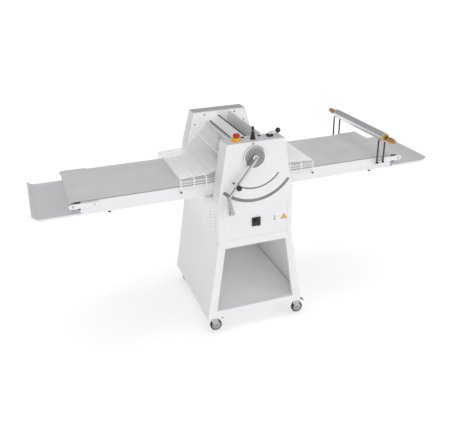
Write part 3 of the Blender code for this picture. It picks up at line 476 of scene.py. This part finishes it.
def punch(panel, side):
    """Two columns of vent holes through the side, near the front."""
    solid = bmesh.new()
    turn = Matrix.Rotation(math.pi / 2, 4, "Y")
    for behind, z in VENTS:
        place = Matrix.Translation((side * WAIST_HALF, y_at(behind), z))
        bmesh.ops.create_cone(solid, cap_ends=True, segments=16, radius1=VENT_RADIUS,
                              radius2=VENT_RADIUS, depth=0.02, matrix=place @ turn)
    cutter = bpy.data.objects.new("vents", to_mesh("vents", solid))
    bpy.context.scene.collection.objects.link(cutter)
    step = panel.modifiers.new("vents", "BOOLEAN")
    step.operation, step.solver, step.object = "DIFFERENCE", "EXACT", cutter
    bpy.context.view_layer.update()
    mesh = bpy.data.meshes.new_from_object(panel.evaluated_get(
        bpy.context.evaluated_depsgraph_get()))
    panel.modifiers.clear()
    panel.data = mesh
    bpy.data.objects.remove(cutter, do_unlink=True)
    while len(mesh.materials) > 1:
        mesh.materials.pop()


def stand():
    """Panels, shelf, waist deck, gear motor, the sides' screws and the tables' supports."""
    for name, side in SIDES:
        side_panel(name, side)
    refined("stand_front_frame", "paint", 0.0015, merge=False)
    refined("switch_panel", "paint", 0.0015)
    refined("stand_back_panel", "paint", 0.001)
    refined("stand_shelf", "paint", 0.0008)
    refined("waist_deck", "paint", 0.0008)
    refined("gear_motor", "motor", 0.002)
    shelf_low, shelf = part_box("stand_shelf")
    for name, side in SIDES:
        # thin dark rod along each side of the shelf: painted shadow in the gap where the shelf
        # meets the side
        x = side * (shelf.x - 0.0012)
        wires(f"shelf_gap_shade_{name}",
              [[(x, shelf_low.y + 0.01, shelf.z), (x, shelf.y - 0.002, shelf.z)]], 0.0012,
              "rubber", "frame")
        for behind, z in ((0.030, 0.150), (0.720, 0.150), (0.030, 0.630), (0.720, 0.630)):
            screw(f"side_screw_{name}_{round(behind * 1000)}_{round(z * 1000)}",
                  (side * side_half(z), y_at(behind), z), (side, 0, 0.16), 0.004, "steel", "frame")
    for name, _ in SIDES:
        refined(name + "_table_support", "paint", 0.001)


def triangle(x, z, reach):
    """Corners of an upright triangle about its centre."""
    corners = []
    for step in range(3):
        angle = 2 * math.pi * step / 3
        corners.append((x + reach * math.sin(angle), z + reach * math.cos(angle)))
    return corners


def front_marks():
    """Plain yellow triangle, small plain label and the screw over the dial."""
    x, z = 0.183, 0.757
    slab("triangle_border", triangle(x, z, 0.024), FRONT - 0.0004, FRONT + 0.0002, "black",
         "frame", 0)
    slab("triangle_plate", triangle(x, z, 0.0195), FRONT - 0.0008, FRONT, "yellow", "frame", 0)
    left, right = 0.116, 0.128
    for name, low, high, finish in (("label_upper", 0.762, 0.775, "label_gray"),
                                    ("label_lower", 0.745, 0.7575, "label_green")):
        slab(name, [(left, low), (right, low), (right, high), (left, high)],
             FRONT - 0.0006, FRONT + 0.0002, finish, "frame", 0)
    screw("dial_mark_screw", (-0.020, FRONT, 1.2495), (0, -1, 0), 0.0045, "black", "frame")


# ---------------------------------------------------------------- heads
def heads():
    """Both heads, what lies between them and the screws on the rear head's inner face."""
    refined("front_head_cover", "paint", 0.002)
    refined("rear_head_cover", "paint", 0.002)
    for node in ("front_head_plate", "rear_head_plate", "left_top_cover", "right_top_cover"):
        refined(node, "paint", 0.0008)
    # the arc plate is darkened: painted shade in the slots
    refined("index_arc_plate", "slot_shade_steel", 0.0003)
    # the flour tray is darkened: painted shade in the trough between the covers
    refined("flour_tray", "trough_shade_steel", 0.0005)
    refined("roller_carriage", "steel", 0.001)
    for node in ("lower_roller", "upper_roller"):
        refined(node, "chrome", 0.0012)
    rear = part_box("rear_head_plate")[0].y
    for number, (x, z) in enumerate(((-0.103, 1.260), (-0.172, 1.200), (0.106, 1.260),
                                     (0.172, 1.200))):
        screw(f"rear_head_screw_{number}", (x, rear, z), (0, -1, 0), 0.0045, "black", "frame")
    rear_head_top_shade()
    gap_shade_strips()


def rear_head_top_shade():
    """Thin gray strip on top of the rear head: painted shade for the top, which gets less light
    from above.
    """
    low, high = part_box("rear_head_cover")
    block("rear_head_top_shade", (-0.178, low.y + 0.004, high.z - 0.0004),
          (0.178, high.y - 0.003, high.z + 0.0010), "shade_gray_paint", "frame", 0.0004)


def gap_shade_strips():
    """Dark strips along the lower edge of the left cover and down the flour tray's side: painted
    shadow in the gaps there.
    """
    low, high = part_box("left_top_cover")
    for name, x, z in (("cover_gap_shade", low.x + 0.003, low.z + 0.0105),
                       ("tray_gap_shade", high.x + 0.001, high.z + 0.0015)):
        block(name, (x - 0.003, low.y + 0.006, z - 0.0025), (x + 0.003, high.y - 0.006, z + 0.0025),
              "rubber", "frame", 0.001)


def hinge_bars():
    """Rods and a hook over the left guard's hinge."""
    hinge = Vector(JOINTS["left_guard_lift"]["pos_m"])
    near, far = y_at(GAP_FRONT), y_at(GAP_BACK - 0.0005)
    for number, (across, up) in enumerate(((0.014, 0.012), (-0.012, 0.016))):
        x, z = hinge.x + across, hinge.z + up
        wires(f"guard_rest_bar_{number}", [[(x, near, z), (x, far, z)]], 0.0035, "wire", "frame")
    corners = ((-0.012, 0.020), (0.018, 0.020), (0.018, -0.012), (0.002, -0.012))
    hook = rounded_profile([(hinge.x + across, y_at(0.150), hinge.z + up)
                            for across, up in corners], 0.012, 5)
    wires("guard_rest_hook", [hook], 0.0025, "wire", "frame")


# ---------------------------------------------------------------- guards
def guard(name, side):
    """Finger guard: fine bent wires along the belt on cross wires that turn down as skirts."""
    node = name + "_guard"
    low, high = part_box(node)
    hinge = Vector(JOINTS[name + "_guard_lift"]["pos_m"])
    hinge_x, hinge_z = abs(hinge.x), hinge.z
    edge_x, edge_z = max(abs(low.x), abs(high.x)) - CROSS_WIRE, GUARD_EDGE
    bend_x, bend_z = GUARD_BEND
    skirt_front, skirt_back, skirt_low = low.y + 0.005, high.y - 0.005, low.z + 0.001
    first, last = y_at(0.126), y_at(0.636)
    count = round((last - first) / GUARD_PITCH)
    along = []
    for step in range(count + 1):
        y = first + (last - first) * step / count
        along.append(rounded_profile([(side * hinge_x, y, hinge_z), (side * bend_x, y, bend_z),
                                      (side * edge_x, y, edge_z)], 0.030, 4))
    wires(node + "_wires", along, FINE_WIRE, "wire", node)
    crosses = []
    under = FINE_WIRE + CROSS_WIRE
    for x in (0.270, 0.345, edge_x):
        z = bend_z + (edge_z - bend_z) * (x - bend_x) / (edge_x - bend_x) - under
        crosses.append(rounded_profile(
            [(side * x, skirt_front, skirt_low), (side * x, skirt_front, z),
             (side * x, skirt_back, z), (side * x, skirt_back, skirt_low)], 0.008, 3))
    for share in (0.45, 0.88):
        x = hinge_x + (bend_x - hinge_x) * share
        z = hinge_z + (bend_z - hinge_z) * share - under
        crosses.append([(side * x, first - 0.004, z), (side * x, last + 0.004, z)])
    crosses.append([(side * hinge_x, y_at(behind), hinge_z) for behind in (GAP_FRONT, GAP_BACK)])
    frame_wires = wires(node + "_cross_wires", crosses, CROSS_WIRE, "wire", node)
    rails = []
    for y in (skirt_front - under * 0.9, skirt_back + under * 0.9):
        for level in range(4):
            z = skirt_low + 0.006 + level * 0.0185
            rails.append([(side * 0.252, y, z), (side * (edge_x + 0.001), y, z)])
    wires(node + "_skirts", rails, FINE_WIRE, "wire", node)
    for number, y in enumerate((skirt_front, skirt_back)):
        spun(f"{node}_foot_{number}", [(0, 0), (0.0045, 0.0005), (0.0055, 0.004), (0.0048, 0.012),
                                       (0, 0.012)], (side * edge_x, y, skirt_low - 0.009),
             (0, 0, 1), "rubber", node, 16)
    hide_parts(node)


# ---------------------------------------------------------------- conveyor tables
def table(name, side):
    """Rails, belt, rollers and catch tray of one side, with the rails' bolts and feet."""
    body = name + "_table"
    refined(name + "_table_frame", "paint", 0.0008)
    refined(name + "_belt", "belt", 0)
    refined(name + "_end_roller_carrier", "paint", 0.0008)
    refined(name + "_drive_roller", "steel", 0.0012)
    refined(name + "_end_roller", "steel", 0.0012)
    refined(name + "_catch_tray", "paint", 0.0006)
    end_x, _, end_z = JOINTS[name + "_end_roller_spin"]["pos_m"]
    rail_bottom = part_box(name + "_table_frame")[0].z
    nut_half = Vector((0.008, 0.005, 0.0045))
    for label, out in ENDS:
        y = RAIL_FRONT if out < 0 else RAIL_BACK
        arm = y + out * 0.0175
        screw(f"{name}_axle_bolt_{label}", (end_x, arm, end_z), (0, out, 0), 0.0065, "steel", body)
        screw(f"{name}_slot_screw_{label}", (end_x - side * 0.119, arm, end_z), (0, out, 0), 0.005,
              "steel", body)
        nut = Vector((end_x - side * 0.034, y + out * 0.006, 0.9645))
        block(f"{name}_adjuster_nut_{label}", nut - nut_half, nut + nut_half, "black", body, 0.0015)
        spun(f"{name}_rail_foot_{label}", [(0, 0), (0.008, 0), (0.010, 0.003), (0.010, 0.009),
                                           (0, 0.009)],
             (side * 0.845, y - out * 0.008, rail_bottom - 0.0088), (0, 0, 1), "rubber", body, 20)
        for x in (0.300, 0.620):
            screw(f"{name}_bed_screw_{label}_{round(x * 1000)}", (side * x, y, 0.9860),
                  (0, out, 0), 0.0032, "paint", body)


def rolling_pin():
    """Brushed tube with pale end plugs and black collars between two turned wooden handles."""
    low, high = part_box("pin_tube")
    axis = (low + high) / 2
    radius = (high.z - low.z) / 2 - 0.0002
    bore = 0.0088
    length = high.y - low.y
    tube = rounded_pairs([(bore, 0), (radius, 0), (radius, length), (bore, length), (bore, 0)],
                         0.0015)
    piece = spun("pin_tube_skin", tube, (axis.x, low.y, axis.z), (0, 1, 0), "turned_steel",
                 "pin_tube", 64)
    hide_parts("pin_tube")
    turned = rounded_pairs([(0, -0.004), (0.0170, -0.0004), (0.0185, 0.003), (0.0175, 0.012),
                            (0.0110, 0.018), (0.0105, 0.022), (0.0150, 0.036), (0.0172, 0.058),
                            (0.0160, 0.082), (0.0115, 0.100), (0.0065, 0.1085), (0, 0.1100)],
                           0.006)
    handle = [(x, max(z, 0.0006)) for x, z in turned]
    plug = rounded_pairs([(0, -0.0004), (0.0262, -0.0004), (0.0262, 0.0022), (0.0240, 0.0034),
                          (0, 0.0036)], 0.0008)
    collar = [(0.0112, 0.0145), (0.0142, 0.0150), (0.0146, 0.0180), (0.0142, 0.0215),
              (0.0112, 0.0220)]
    for label, out in ENDS:
        end = (axis.x, low.y if out < 0 else high.y, axis.z)
        spun(f"pin_handle_{label}", handle, end, (0, out, 0), "wood", "rolling_pin",
                           40, 60)
        spun(f"pin_plug_{label}", plug, end, (0, out, 0), "light_wood", "pin_tube", 40)
        spun(f"pin_collar_{label}", collar, end, (0, out, 0), "black", "rolling_pin", 32)
    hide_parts("pin_handles")


def pin_brackets():
    """U-shaped rods with a nut on each leg, a washer and a bolt."""
    for node, out in (("front_pin_bracket", -1), ("rear_pin_bracket", 1)):
        low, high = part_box(node)
        y = (low.y + high.y) / 2
        left, right = low.x + ROD, high.x - ROD
        foot = low.z + ROD
        loop = rounded_profile([(left, y, high.z), (left, y, foot), (right, y, foot),
                                (right, y, high.z)], 0.006, 4)
        piece = wires(node + "_rod", [loop], ROD, "black_steel", "right_table", 5)
        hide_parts(node)
        for side, x in (("left", left), ("right", right)):
            spun(f"{node}_nut_{side}", [(0, -0.0045), (0.0078, -0.0045), (0.0088, -0.0035),
                                        (0.0088, 0.0035), (0.0078, 0.0045), (0, 0.0045)],
                 (x, y, foot + 0.004), (0, 0, 1), "black", "right_table", 6)
        centre = ((low.x + high.x) / 2, y + out * (ROD + 0.0002), low.z + 0.009)
        spun(node + "_washer", [(0.004, 0), (0.0110, 0), (0.0115, 0.0008), (0.0110, 0.0016),
                                (0.004, 0.0016)], centre, (0, out, 0), "paint", "right_table", 28)
        screw(node + "_bolt", (centre[0], y + out * 0.0016, centre[2]), (0, out, 0), 0.006,
              "black", "right_table")


# ---------------------------------------------------------------- thickness lever
def dial():
    """Brushed dial face with its marks, a polished rim and the shaft behind it."""
    low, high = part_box("dial_disc")
    radius = (high.x - low.x) / 2
    face = low.y
    disc = [(0, 0.0062), (radius - 0.0065, 0.0062), (radius - 0.0065, 0.0016),
            (radius - 0.0075, 0.0010), (0, 0.0010)]
    plate = spun("dial_face", disc, (LEVER.x, face + 0.0070, LEVER.z), (0, -1, 0), "dial_steel",
                 "thickness_lever", 96)
    rim_inside = radius - 0.0068
    rim = rounded_pairs([(rim_inside, 0), (radius, 0), (radius, 0.0076), (radius - 0.0045, 0.0084),
                         (rim_inside, 0.0070), (rim_inside, 0)], 0.0008, 2)
    spun("dial_rim", rim, (LEVER.x, face + 0.0080, LEVER.z), (0, -1, 0), "chrome",
         "thickness_lever", 96)
    marks = []
    for step in range(25):
        angle = math.radians(-120 + 10 * step)
        inner = radius - (0.016 if step % 5 else 0.020)
        marks.append([(LEVER.x + r * math.sin(angle), face + 0.0006, LEVER.z + r * math.cos(angle))
                      for r in (inner, radius - 0.010)])
    wires("dial_marks", marks, 0.0005, "wire", "thickness_lever", 2)
    spun("dial_shaft", [(0, 0), (0.0125, 0), (0.0125, 0.076), (0, 0.076)],
         (LEVER.x, high.y, LEVER.z), (0, -1, 0), "steel", "thickness_lever", 32)
    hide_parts("dial_disc")


def lever():
    """Bent chrome arm, its index housing and the conical grip."""
    down = INDEX - LEVER
    down.y = 0
    down.normalize()
    arm_y = y_at(-0.036)
    reach = 0.280                   # from the lever's axis to the grip
    tip = Vector((LEVER.x, arm_y, LEVER.z)) + down * reach
    path = rounded_profile([(LEVER.x, y_at(-0.0118), LEVER.z), (LEVER.x, arm_y, LEVER.z), tip],
                           0.020, 8)
    arm = wires("lever_arm_rod", [path], 0.0092, "lever_chrome", "thickness_lever", 8)
    spun("lever_hub", [(0, 0), (0.0175, 0), (0.0182, 0.002), (0.0165, 0.010), (0.0095, 0.0150),
                       (0, 0.0150)], (LEVER.x, y_at(-0.0117), LEVER.z), (0, -1, 0), "chrome",
         "thickness_lever", 48)
    grip_way = Vector((0.010, -0.022, -0.096))
    length = grip_way.length
    grip = rounded_pairs([(0, -0.010), (0.0085, -0.008), (0.0108, 0.004), (0.0125, 0.030),
                          (0.0175, 0.072), (0.0215, length - 0.006), (0.0205, length),
                          (0.0150, length)], 0.006, 4)
    spun("lever_grip", grip, tip, grip_way, "lever_chrome", "thickness_lever", 48, 60)
    spun("lever_grip_plug", [(0, 0), (0.0165, 0), (0.0165, 0.0020), (0.0120, 0.0032), (0, 0.0036)],
         tip + grip_way.normalized() * (length - 0.0012), grip_way, "black", "thickness_lever", 32)
    housing = rounded_pairs([(0.0050, 0), (0.0135, 0), (0.0135, 0.026), (0.0110, 0.030),
                             (0.0050, 0.030), (0.0050, 0)], 0.001, 2)
    spun("index_housing", housing, (INDEX.x, y_at(-0.016), INDEX.z), (0, -1, 0), "chrome",
         "thickness_lever", 36)
    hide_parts("lever_arm")


def index_knob():
    """Round knob on the pin that locks the lever."""
    low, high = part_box("index_plunger")
    tall = 0.0330
    knob = rounded_pairs([(0, 0), (0.0070, 0), (0.0085, 0.004), (0.0150, 0.009), (0.0172, 0.018),
                          (0.0150, 0.028), (0.0080, tall - 0.0005), (0, tall)], 0.004)
    piece = spun("index_knob", knob, (INDEX.x, low.y + tall, INDEX.z), (0, -1, 0), "black",
                 "index_plunger", 40, 60)
    reach = high.y - low.y - 0.020
    spun("index_pin", [(0, 0), (0.0040, 0.001), (0.0040, reach), (0, reach)],
         (INDEX.x, high.y, INDEX.z), (0, -1, 0), "chrome", "index_plunger", 20)
    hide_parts("index_plunger")


# ---------------------------------------------------------------- controls
def main_switch():
    """Black plate with a round knob and its slanted grip."""
    refined("main_switch_plate", "black", 0.0015)
    centre = Vector(JOINTS["main_switch_turn"]["pos_m"])
    rose = spun("switch_rose", rounded_pairs([(0, 0.0116), (0.0150, 0.0116), (0.0172, 0.0090),
                                              (0.0176, 0.0064), (0, 0.0064)], 0.0012),
                centre, (0, -1, 0), "black", "main_switch_knob", 40)
    turn = Matrix.Rotation(math.radians(-32), 4, "Y")
    block("switch_grip", centre + Vector((-0.0055, -0.0260, -0.0250)),
          centre + Vector((0.0055, -0.0105, 0.0180)), "black", "main_switch_knob", 0.0025, turn)
    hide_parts("main_switch_knob")


def emergency_stop():
    """Red mushroom button on a yellow base."""
    low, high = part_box("emergency_stop_base")
    centre = (low + high) / 2
    base = spun("stop_base", rounded_pairs([(0.0108, 0.006), (0.0108, 0.020), (0.0228, 0.020),
                                            (0.0262, 0.0165), (0.0262, 0.0), (0, 0.0), (0, 0.0055),
                                            (0.0108, 0.006)], 0.0015),
                (centre.x, centre.y, low.z), (0, 0, 1), "yellow", "frame", 48)
    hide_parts("emergency_stop_base")
    low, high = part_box("emergency_stop_button")
    button = spun("stop_button", rounded_pairs([(0, 0), (0.0095, 0), (0.0095, 0.0135),
                                                (0.0200, 0.0140), (0.0210, 0.0200),
                                                (0.0185, 0.0270), (0.0120, 0.0285), (0, 0.0290)],
                                               0.003, 4),
                  (centre.x, centre.y, low.z), (0, 0, 1), "red", "emergency_stop_button", 48, 50)
    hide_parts("emergency_stop_button")


def joystick():
    """Folded boot and the stick that tilts on a ball inside it."""
    low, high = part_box("joystick_boot")
    centre = (low + high) / 2
    folds = [(0.0, 0.0), (0.0165, 0.0), (0.0165, 0.0030)]
    for step in range(4):
        z = 0.0035 + step * 0.0046
        folds += [(0.0148 - step * 0.0004, z + 0.0012), (0.0128 - step * 0.0004, z + 0.0036)]
    folds += [(0.0115, 0.0218), (0.0, 0.0218)]
    boot = spun("joystick_bellows", rounded_pairs(folds, 0.0008, 2), (centre.x, centre.y, low.z),
                (0, 0, 1), "rubber", "frame", 40, 60)
    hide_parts("joystick_boot")
    low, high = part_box("joystick_lever")
    height = high.z - low.z
    ball = [(BALL * math.sin(math.radians(angle)), BALL - BALL * math.cos(math.radians(angle)))
            for angle in range(0, 91, 15)]
    neck = [(0.0100, 0.0120), (0.0088, 0.0180), (0.0055, 0.0200), (0.0055, height - 0.0200),
            (0.0078, height - 0.0170), (0.0080, height - 0.0020), (0.0060, height), (0, height)]
    stick = spun("joystick_stick", ball + rounded_pairs(neck, 0.0025, 3),
                 (centre.x, centre.y, low.z), (0, 0, 1), "black", "joystick_lever", 36, 50)
    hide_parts("joystick_lever")


def clamp():
    """Ball-knob lever on its base."""
    refined("clamp_lever_base", "black", 0.0015)
    pivot = Vector(JOINTS["clamp_lever_turn"]["pos_m"])
    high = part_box("clamp_lever")[1]
    boss = spun("clamp_boss", rounded_pairs([(0, 0), (0.0105, 0), (0.0105, 0.0060),
                                             (0.0060, 0.0100), (0, 0.0105)], 0.001),
                pivot, (0, 0, 1), "chrome", "clamp_lever", 32)
    radius = 0.0155
    ball = Vector((high.x - radius, pivot.y, high.z - 0.0300))
    path = rounded_profile([pivot + Vector((0, 0, 0.004)), pivot + Vector((0, 0, 0.012)), ball],
                           0.008, 5)
    wires("clamp_rod", [path], 0.0040, "chrome", "clamp_lever", 5)
    profile = [(radius * math.cos(math.radians(angle)), radius * math.sin(math.radians(angle)))
               for angle in range(-90, 91, 10)]
    spun("clamp_ball", profile, ball, (0.75, 0, 0.45), "black", "clamp_lever", 32, 60)
    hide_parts("clamp_lever")


def head_tabs():
    """Small black tabs at the back of the front head's top."""
    for number, (x, behind, half) in enumerate(((-0.052, 0.091, 0.011), (0.052, 0.087, 0.009))):
        block(f"head_tab_{number}", (x - half, y_at(behind) - 0.005, HEAD_TOP - 0.0005),
              (x + half, y_at(behind) + 0.005, HEAD_TOP + 0.0065), "black", "frame", 0.002)


# ---------------------------------------------------------------- casters
def caster(name):
    """Plated fork, rubber tread on a gray hub, axle heads and, at the front, a brake pedal."""
    hub = Vector(JOINTS["caster_roll_" + name]["pos_m"])
    fork_body, wheel_body = "caster_fork_" + name, "caster_wheel_" + name
    refined(fork_body, "zinc", 0.0008)
    radius, half = hub.z, 0.012
    tread = rounded_pairs([(0.0285, -half), (radius - 0.002, -half), (radius, -half + 0.003),
                           (radius, half - 0.003), (radius - 0.002, half), (0.0285, half),
                           (0.0285, -half)], 0.002, 3)
    wheel = spun(f"caster_tread_{name}", tread, hub, (0, 1, 0), "rubber", wheel_body, 64)
    disc = rounded_pairs([(0.0062, -0.0135), (0.0110, -0.0135), (0.0118, -0.0085),
                          (0.0225, -0.0075), (0.0245, -0.0120), (0.0286, -0.0120),
                          (0.0286, 0.0120), (0.0245, 0.0120), (0.0225, 0.0075), (0.0118, 0.0085),
                          (0.0110, 0.0135), (0.0062, 0.0135), (0.0062, -0.0135)], 0.0012, 3)
    spun(f"caster_hub_{name}", disc, hub, (0, 1, 0), "hub", wheel_body, 64)
    for sign in (-1, 1):
        screw(f"caster_axle_{'front' if sign < 0 else 'back'}_{name}",
              (hub.x, hub.y + sign * 0.0216, hub.z), (0, sign, 0), 0.0068, "zinc", fork_body)
    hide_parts(wheel_body)
    if "caster_brake_" + name in NODES:
        brake_pedal(name)


def brake_pedal(name):
    """Pedal that bends down as it goes out."""
    brake = "caster_brake_" + name
    low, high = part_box(brake)
    solid = bmesh.new()
    rows = [(low.x, 0.0), (low.x + 0.012, -0.002), (low.x + 0.022, -0.009),
            (high.x + 0.007, -0.018)]
    top, bottom = [], []
    for x, rise in rows:
        for ring, z in ((top, high.z + rise), (bottom, high.z + rise - 0.0042)):
            ring.append([solid.verts.new((x, y, z)) for y in (low.y, high.y)])
    for ring in (top, bottom):
        for first, second in zip(ring, ring[1:]):
            solid.faces.new((first[0], first[1], second[1], second[0]))
    for edge in (0, 1):
        for step in range(len(rows) - 1):
            solid.faces.new((top[step][edge], top[step + 1][edge], bottom[step + 1][edge],
                             bottom[step][edge]))
    for end in (0, -1):
        solid.faces.new((top[end][0], top[end][1], bottom[end][1], bottom[end][0]))
    bmesh.ops.recalc_face_normals(solid, faces=solid.faces)
    bevelled(solid, 0.0014, 40, 3)
    pedal = add(f"brake_pedal_{name}", to_mesh("pedal", solid), "black", brake)
    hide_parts(brake)


# ---------------------------------------------------------------- stage
def floor_material():
    """Pale floor that glows a little, so that it fades into a white surround."""
    material, tree, shader, place = blank_material("pale_floor", 0.0)
    tree.links.new(two_tone(tree, noise(tree, place, 0.8), (0.49, 0.49, 0.49), (0.51, 0.51, 0.51)),
                   shader.inputs["Base Color"])
    shader.inputs["Roughness"].default_value = 0.9
    shader.inputs["Emission Color"].default_value = (1, 1, 1, 1)
    shader.inputs["Emission Strength"].default_value = 0.50
    return material


def sun_lamp(name, energy, width, height, side):
    """A lamp of this angular width and height, this far to the operator's right, in degrees."""
    lamp = bpy.data.lights.new(name, "SUN")
    lamp.energy, lamp.angle = energy, math.radians(width)
    holder = bpy.data.objects.new(name, lamp)
    holder.rotation_euler = (math.radians(90 - height), 0, math.radians(side))
    bpy.context.scene.collection.objects.link(holder)
    return holder


def floor_lamp(floor):
    """A lamp from straight above that only the floor receives, so the machine shades the floor."""
    lit = bpy.data.collections.new("lit_floor")
    lit.objects.link(floor)
    sun_lamp("floor_lamp", 1.65, 60, 90, 0).light_linking.receiver_collection = lit


def gap_lamp():
    """A lamp from the front that only the faces between the heads and the guards receive."""
    lit = bpy.data.collections.new("lit_gap")
    for name in ("rear_head_plate_skin", "left_top_cover_skin", "right_top_cover_skin",
                 "left_guard_wires", "left_guard_cross_wires", "right_guard_wires",
                 "right_guard_cross_wires"):
        lit.objects.link(bpy.data.objects[name])
    sun_lamp("gap_lamp", 0.80, 40, 27, -5).light_linking.receiver_collection = lit


def shelf_lamp():
    """A weak lamp under the waist, for light that the studio throws into the open stand."""
    lamp = bpy.data.lights.new("shelf_lamp", "AREA")
    lamp.shape = "RECTANGLE"
    lamp.size, lamp.size_y = 0.34, 0.60
    lamp.energy = 0.40
    holder = bpy.data.objects.new("shelf_lamp", lamp)
    holder.location = (0, (FRONT + BACK) / 2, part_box("stand_front_frame")[1].z - 0.008)
    holder.visible_camera = False
    bpy.context.scene.collection.objects.link(holder)


def dark_cards():
    """Upright dark cards that only the polished metal reflects, as a studio's black flags."""
    material, tree, shader, place = blank_material("black_card", 0.0)
    tree.links.new(two_tone(tree, noise(tree, place, 2.0), (0.010, 0.010, 0.010),
                            (0.014, 0.014, 0.014)), shader.inputs["Base Color"])
    for number, (x, y, width) in enumerate(((-5.5, -3.5, 1.6), (3.6, -6.0, 1.8),
                                            (-1.6, -8.0, 1.0))):
        solid = bmesh.new()
        bmesh.ops.create_grid(solid, x_segments=1, y_segments=1, size=0.5)
        away = Vector((x, y, 0)).to_track_quat("Z", "Y").to_matrix().to_4x4()
        bmesh.ops.scale(solid, vec=(width, 7.0, 1.0), verts=solid.verts)
        mesh = bpy.data.meshes.new("card")
        solid.to_mesh(mesh)
        solid.free()
        card = bpy.data.objects.new(f"card_{number}", mesh)
        card.matrix_world = Matrix.Translation((x, y, 3.4)) @ away
        mesh.materials.append(material)
        bpy.context.scene.collection.objects.link(card)
        card.visible_camera = card.visible_diffuse = card.visible_shadow = False


def stage():
    """Pale floor, white surround and the lamps."""
    solid = bmesh.new()
    bmesh.ops.create_grid(solid, x_segments=8, y_segments=8, size=60.0)
    mesh = bpy.data.meshes.new("floor")
    solid.to_mesh(mesh)
    solid.free()
    floor = bpy.data.objects.new("floor", mesh)
    mesh.materials.append(floor_material())
    bpy.context.scene.collection.objects.link(floor)
    world = bpy.data.worlds.new("studio")
    bpy.context.scene.world = world
    world.use_nodes = True
    sky = world.node_tree.nodes["Background"]
    sky.inputs["Color"].default_value = (0.985, 0.985, 1.0, 1.0)
    sky.inputs["Strength"].default_value = 0.43
    sun_lamp("key", 0.42, 34, 20, 42)
    sun_lamp("low_fill", 0.34, 40, 18, -12)
    sun_lamp("top_fill", 0.42, 60, 62, -20)
    floor_lamp(floor)
    gap_lamp()
    shelf_lamp()
    dark_cards()
    bpy.context.scene.view_settings.view_transform = "Standard"


def camera():
    """A camera on the operator's left that looks down on the machine."""
    across, down, roll = math.radians(19.01), math.radians(25.22), math.radians(-1.20)
    right = Vector((math.cos(across), -math.sin(across), 0))
    ahead = Vector((math.sin(across) * math.cos(down), math.cos(across) * math.cos(down),
                    -math.sin(down)))
    above = right.cross(ahead)
    x_axis = right * math.cos(roll) + above * math.sin(roll)
    y_axis = above * math.cos(roll) - right * math.sin(roll)
    turn = Matrix((x_axis, y_axis, -ahead)).transposed()
    data = bpy.data.cameras.new("camera")
    data.lens, data.sensor_width = 46.87, 36.0
    eye = bpy.data.objects.new("camera", data)
    eye.matrix_world = Matrix.Translation((-1.208, y_at(-2.935), 2.316)) @ turn.to_4x4()
    bpy.context.scene.collection.objects.link(eye)
    bpy.context.scene.camera = eye


def build():
    """Every part of the machine, and then the studio."""
    stand()
    front_marks()
    heads()
    hinge_bars()
    for name, side in SIDES:
        guard(name, side)
        table(name, side)
    rolling_pin()
    pin_brackets()
    dial()
    lever()
    index_knob()
    main_switch()
    emergency_stop()
    joystick()
    clamp()
    head_tabs()
    for name in ("front_left", "front_right", "rear_left", "rear_right"):
        caster(name)
    stage()
    camera()


build()
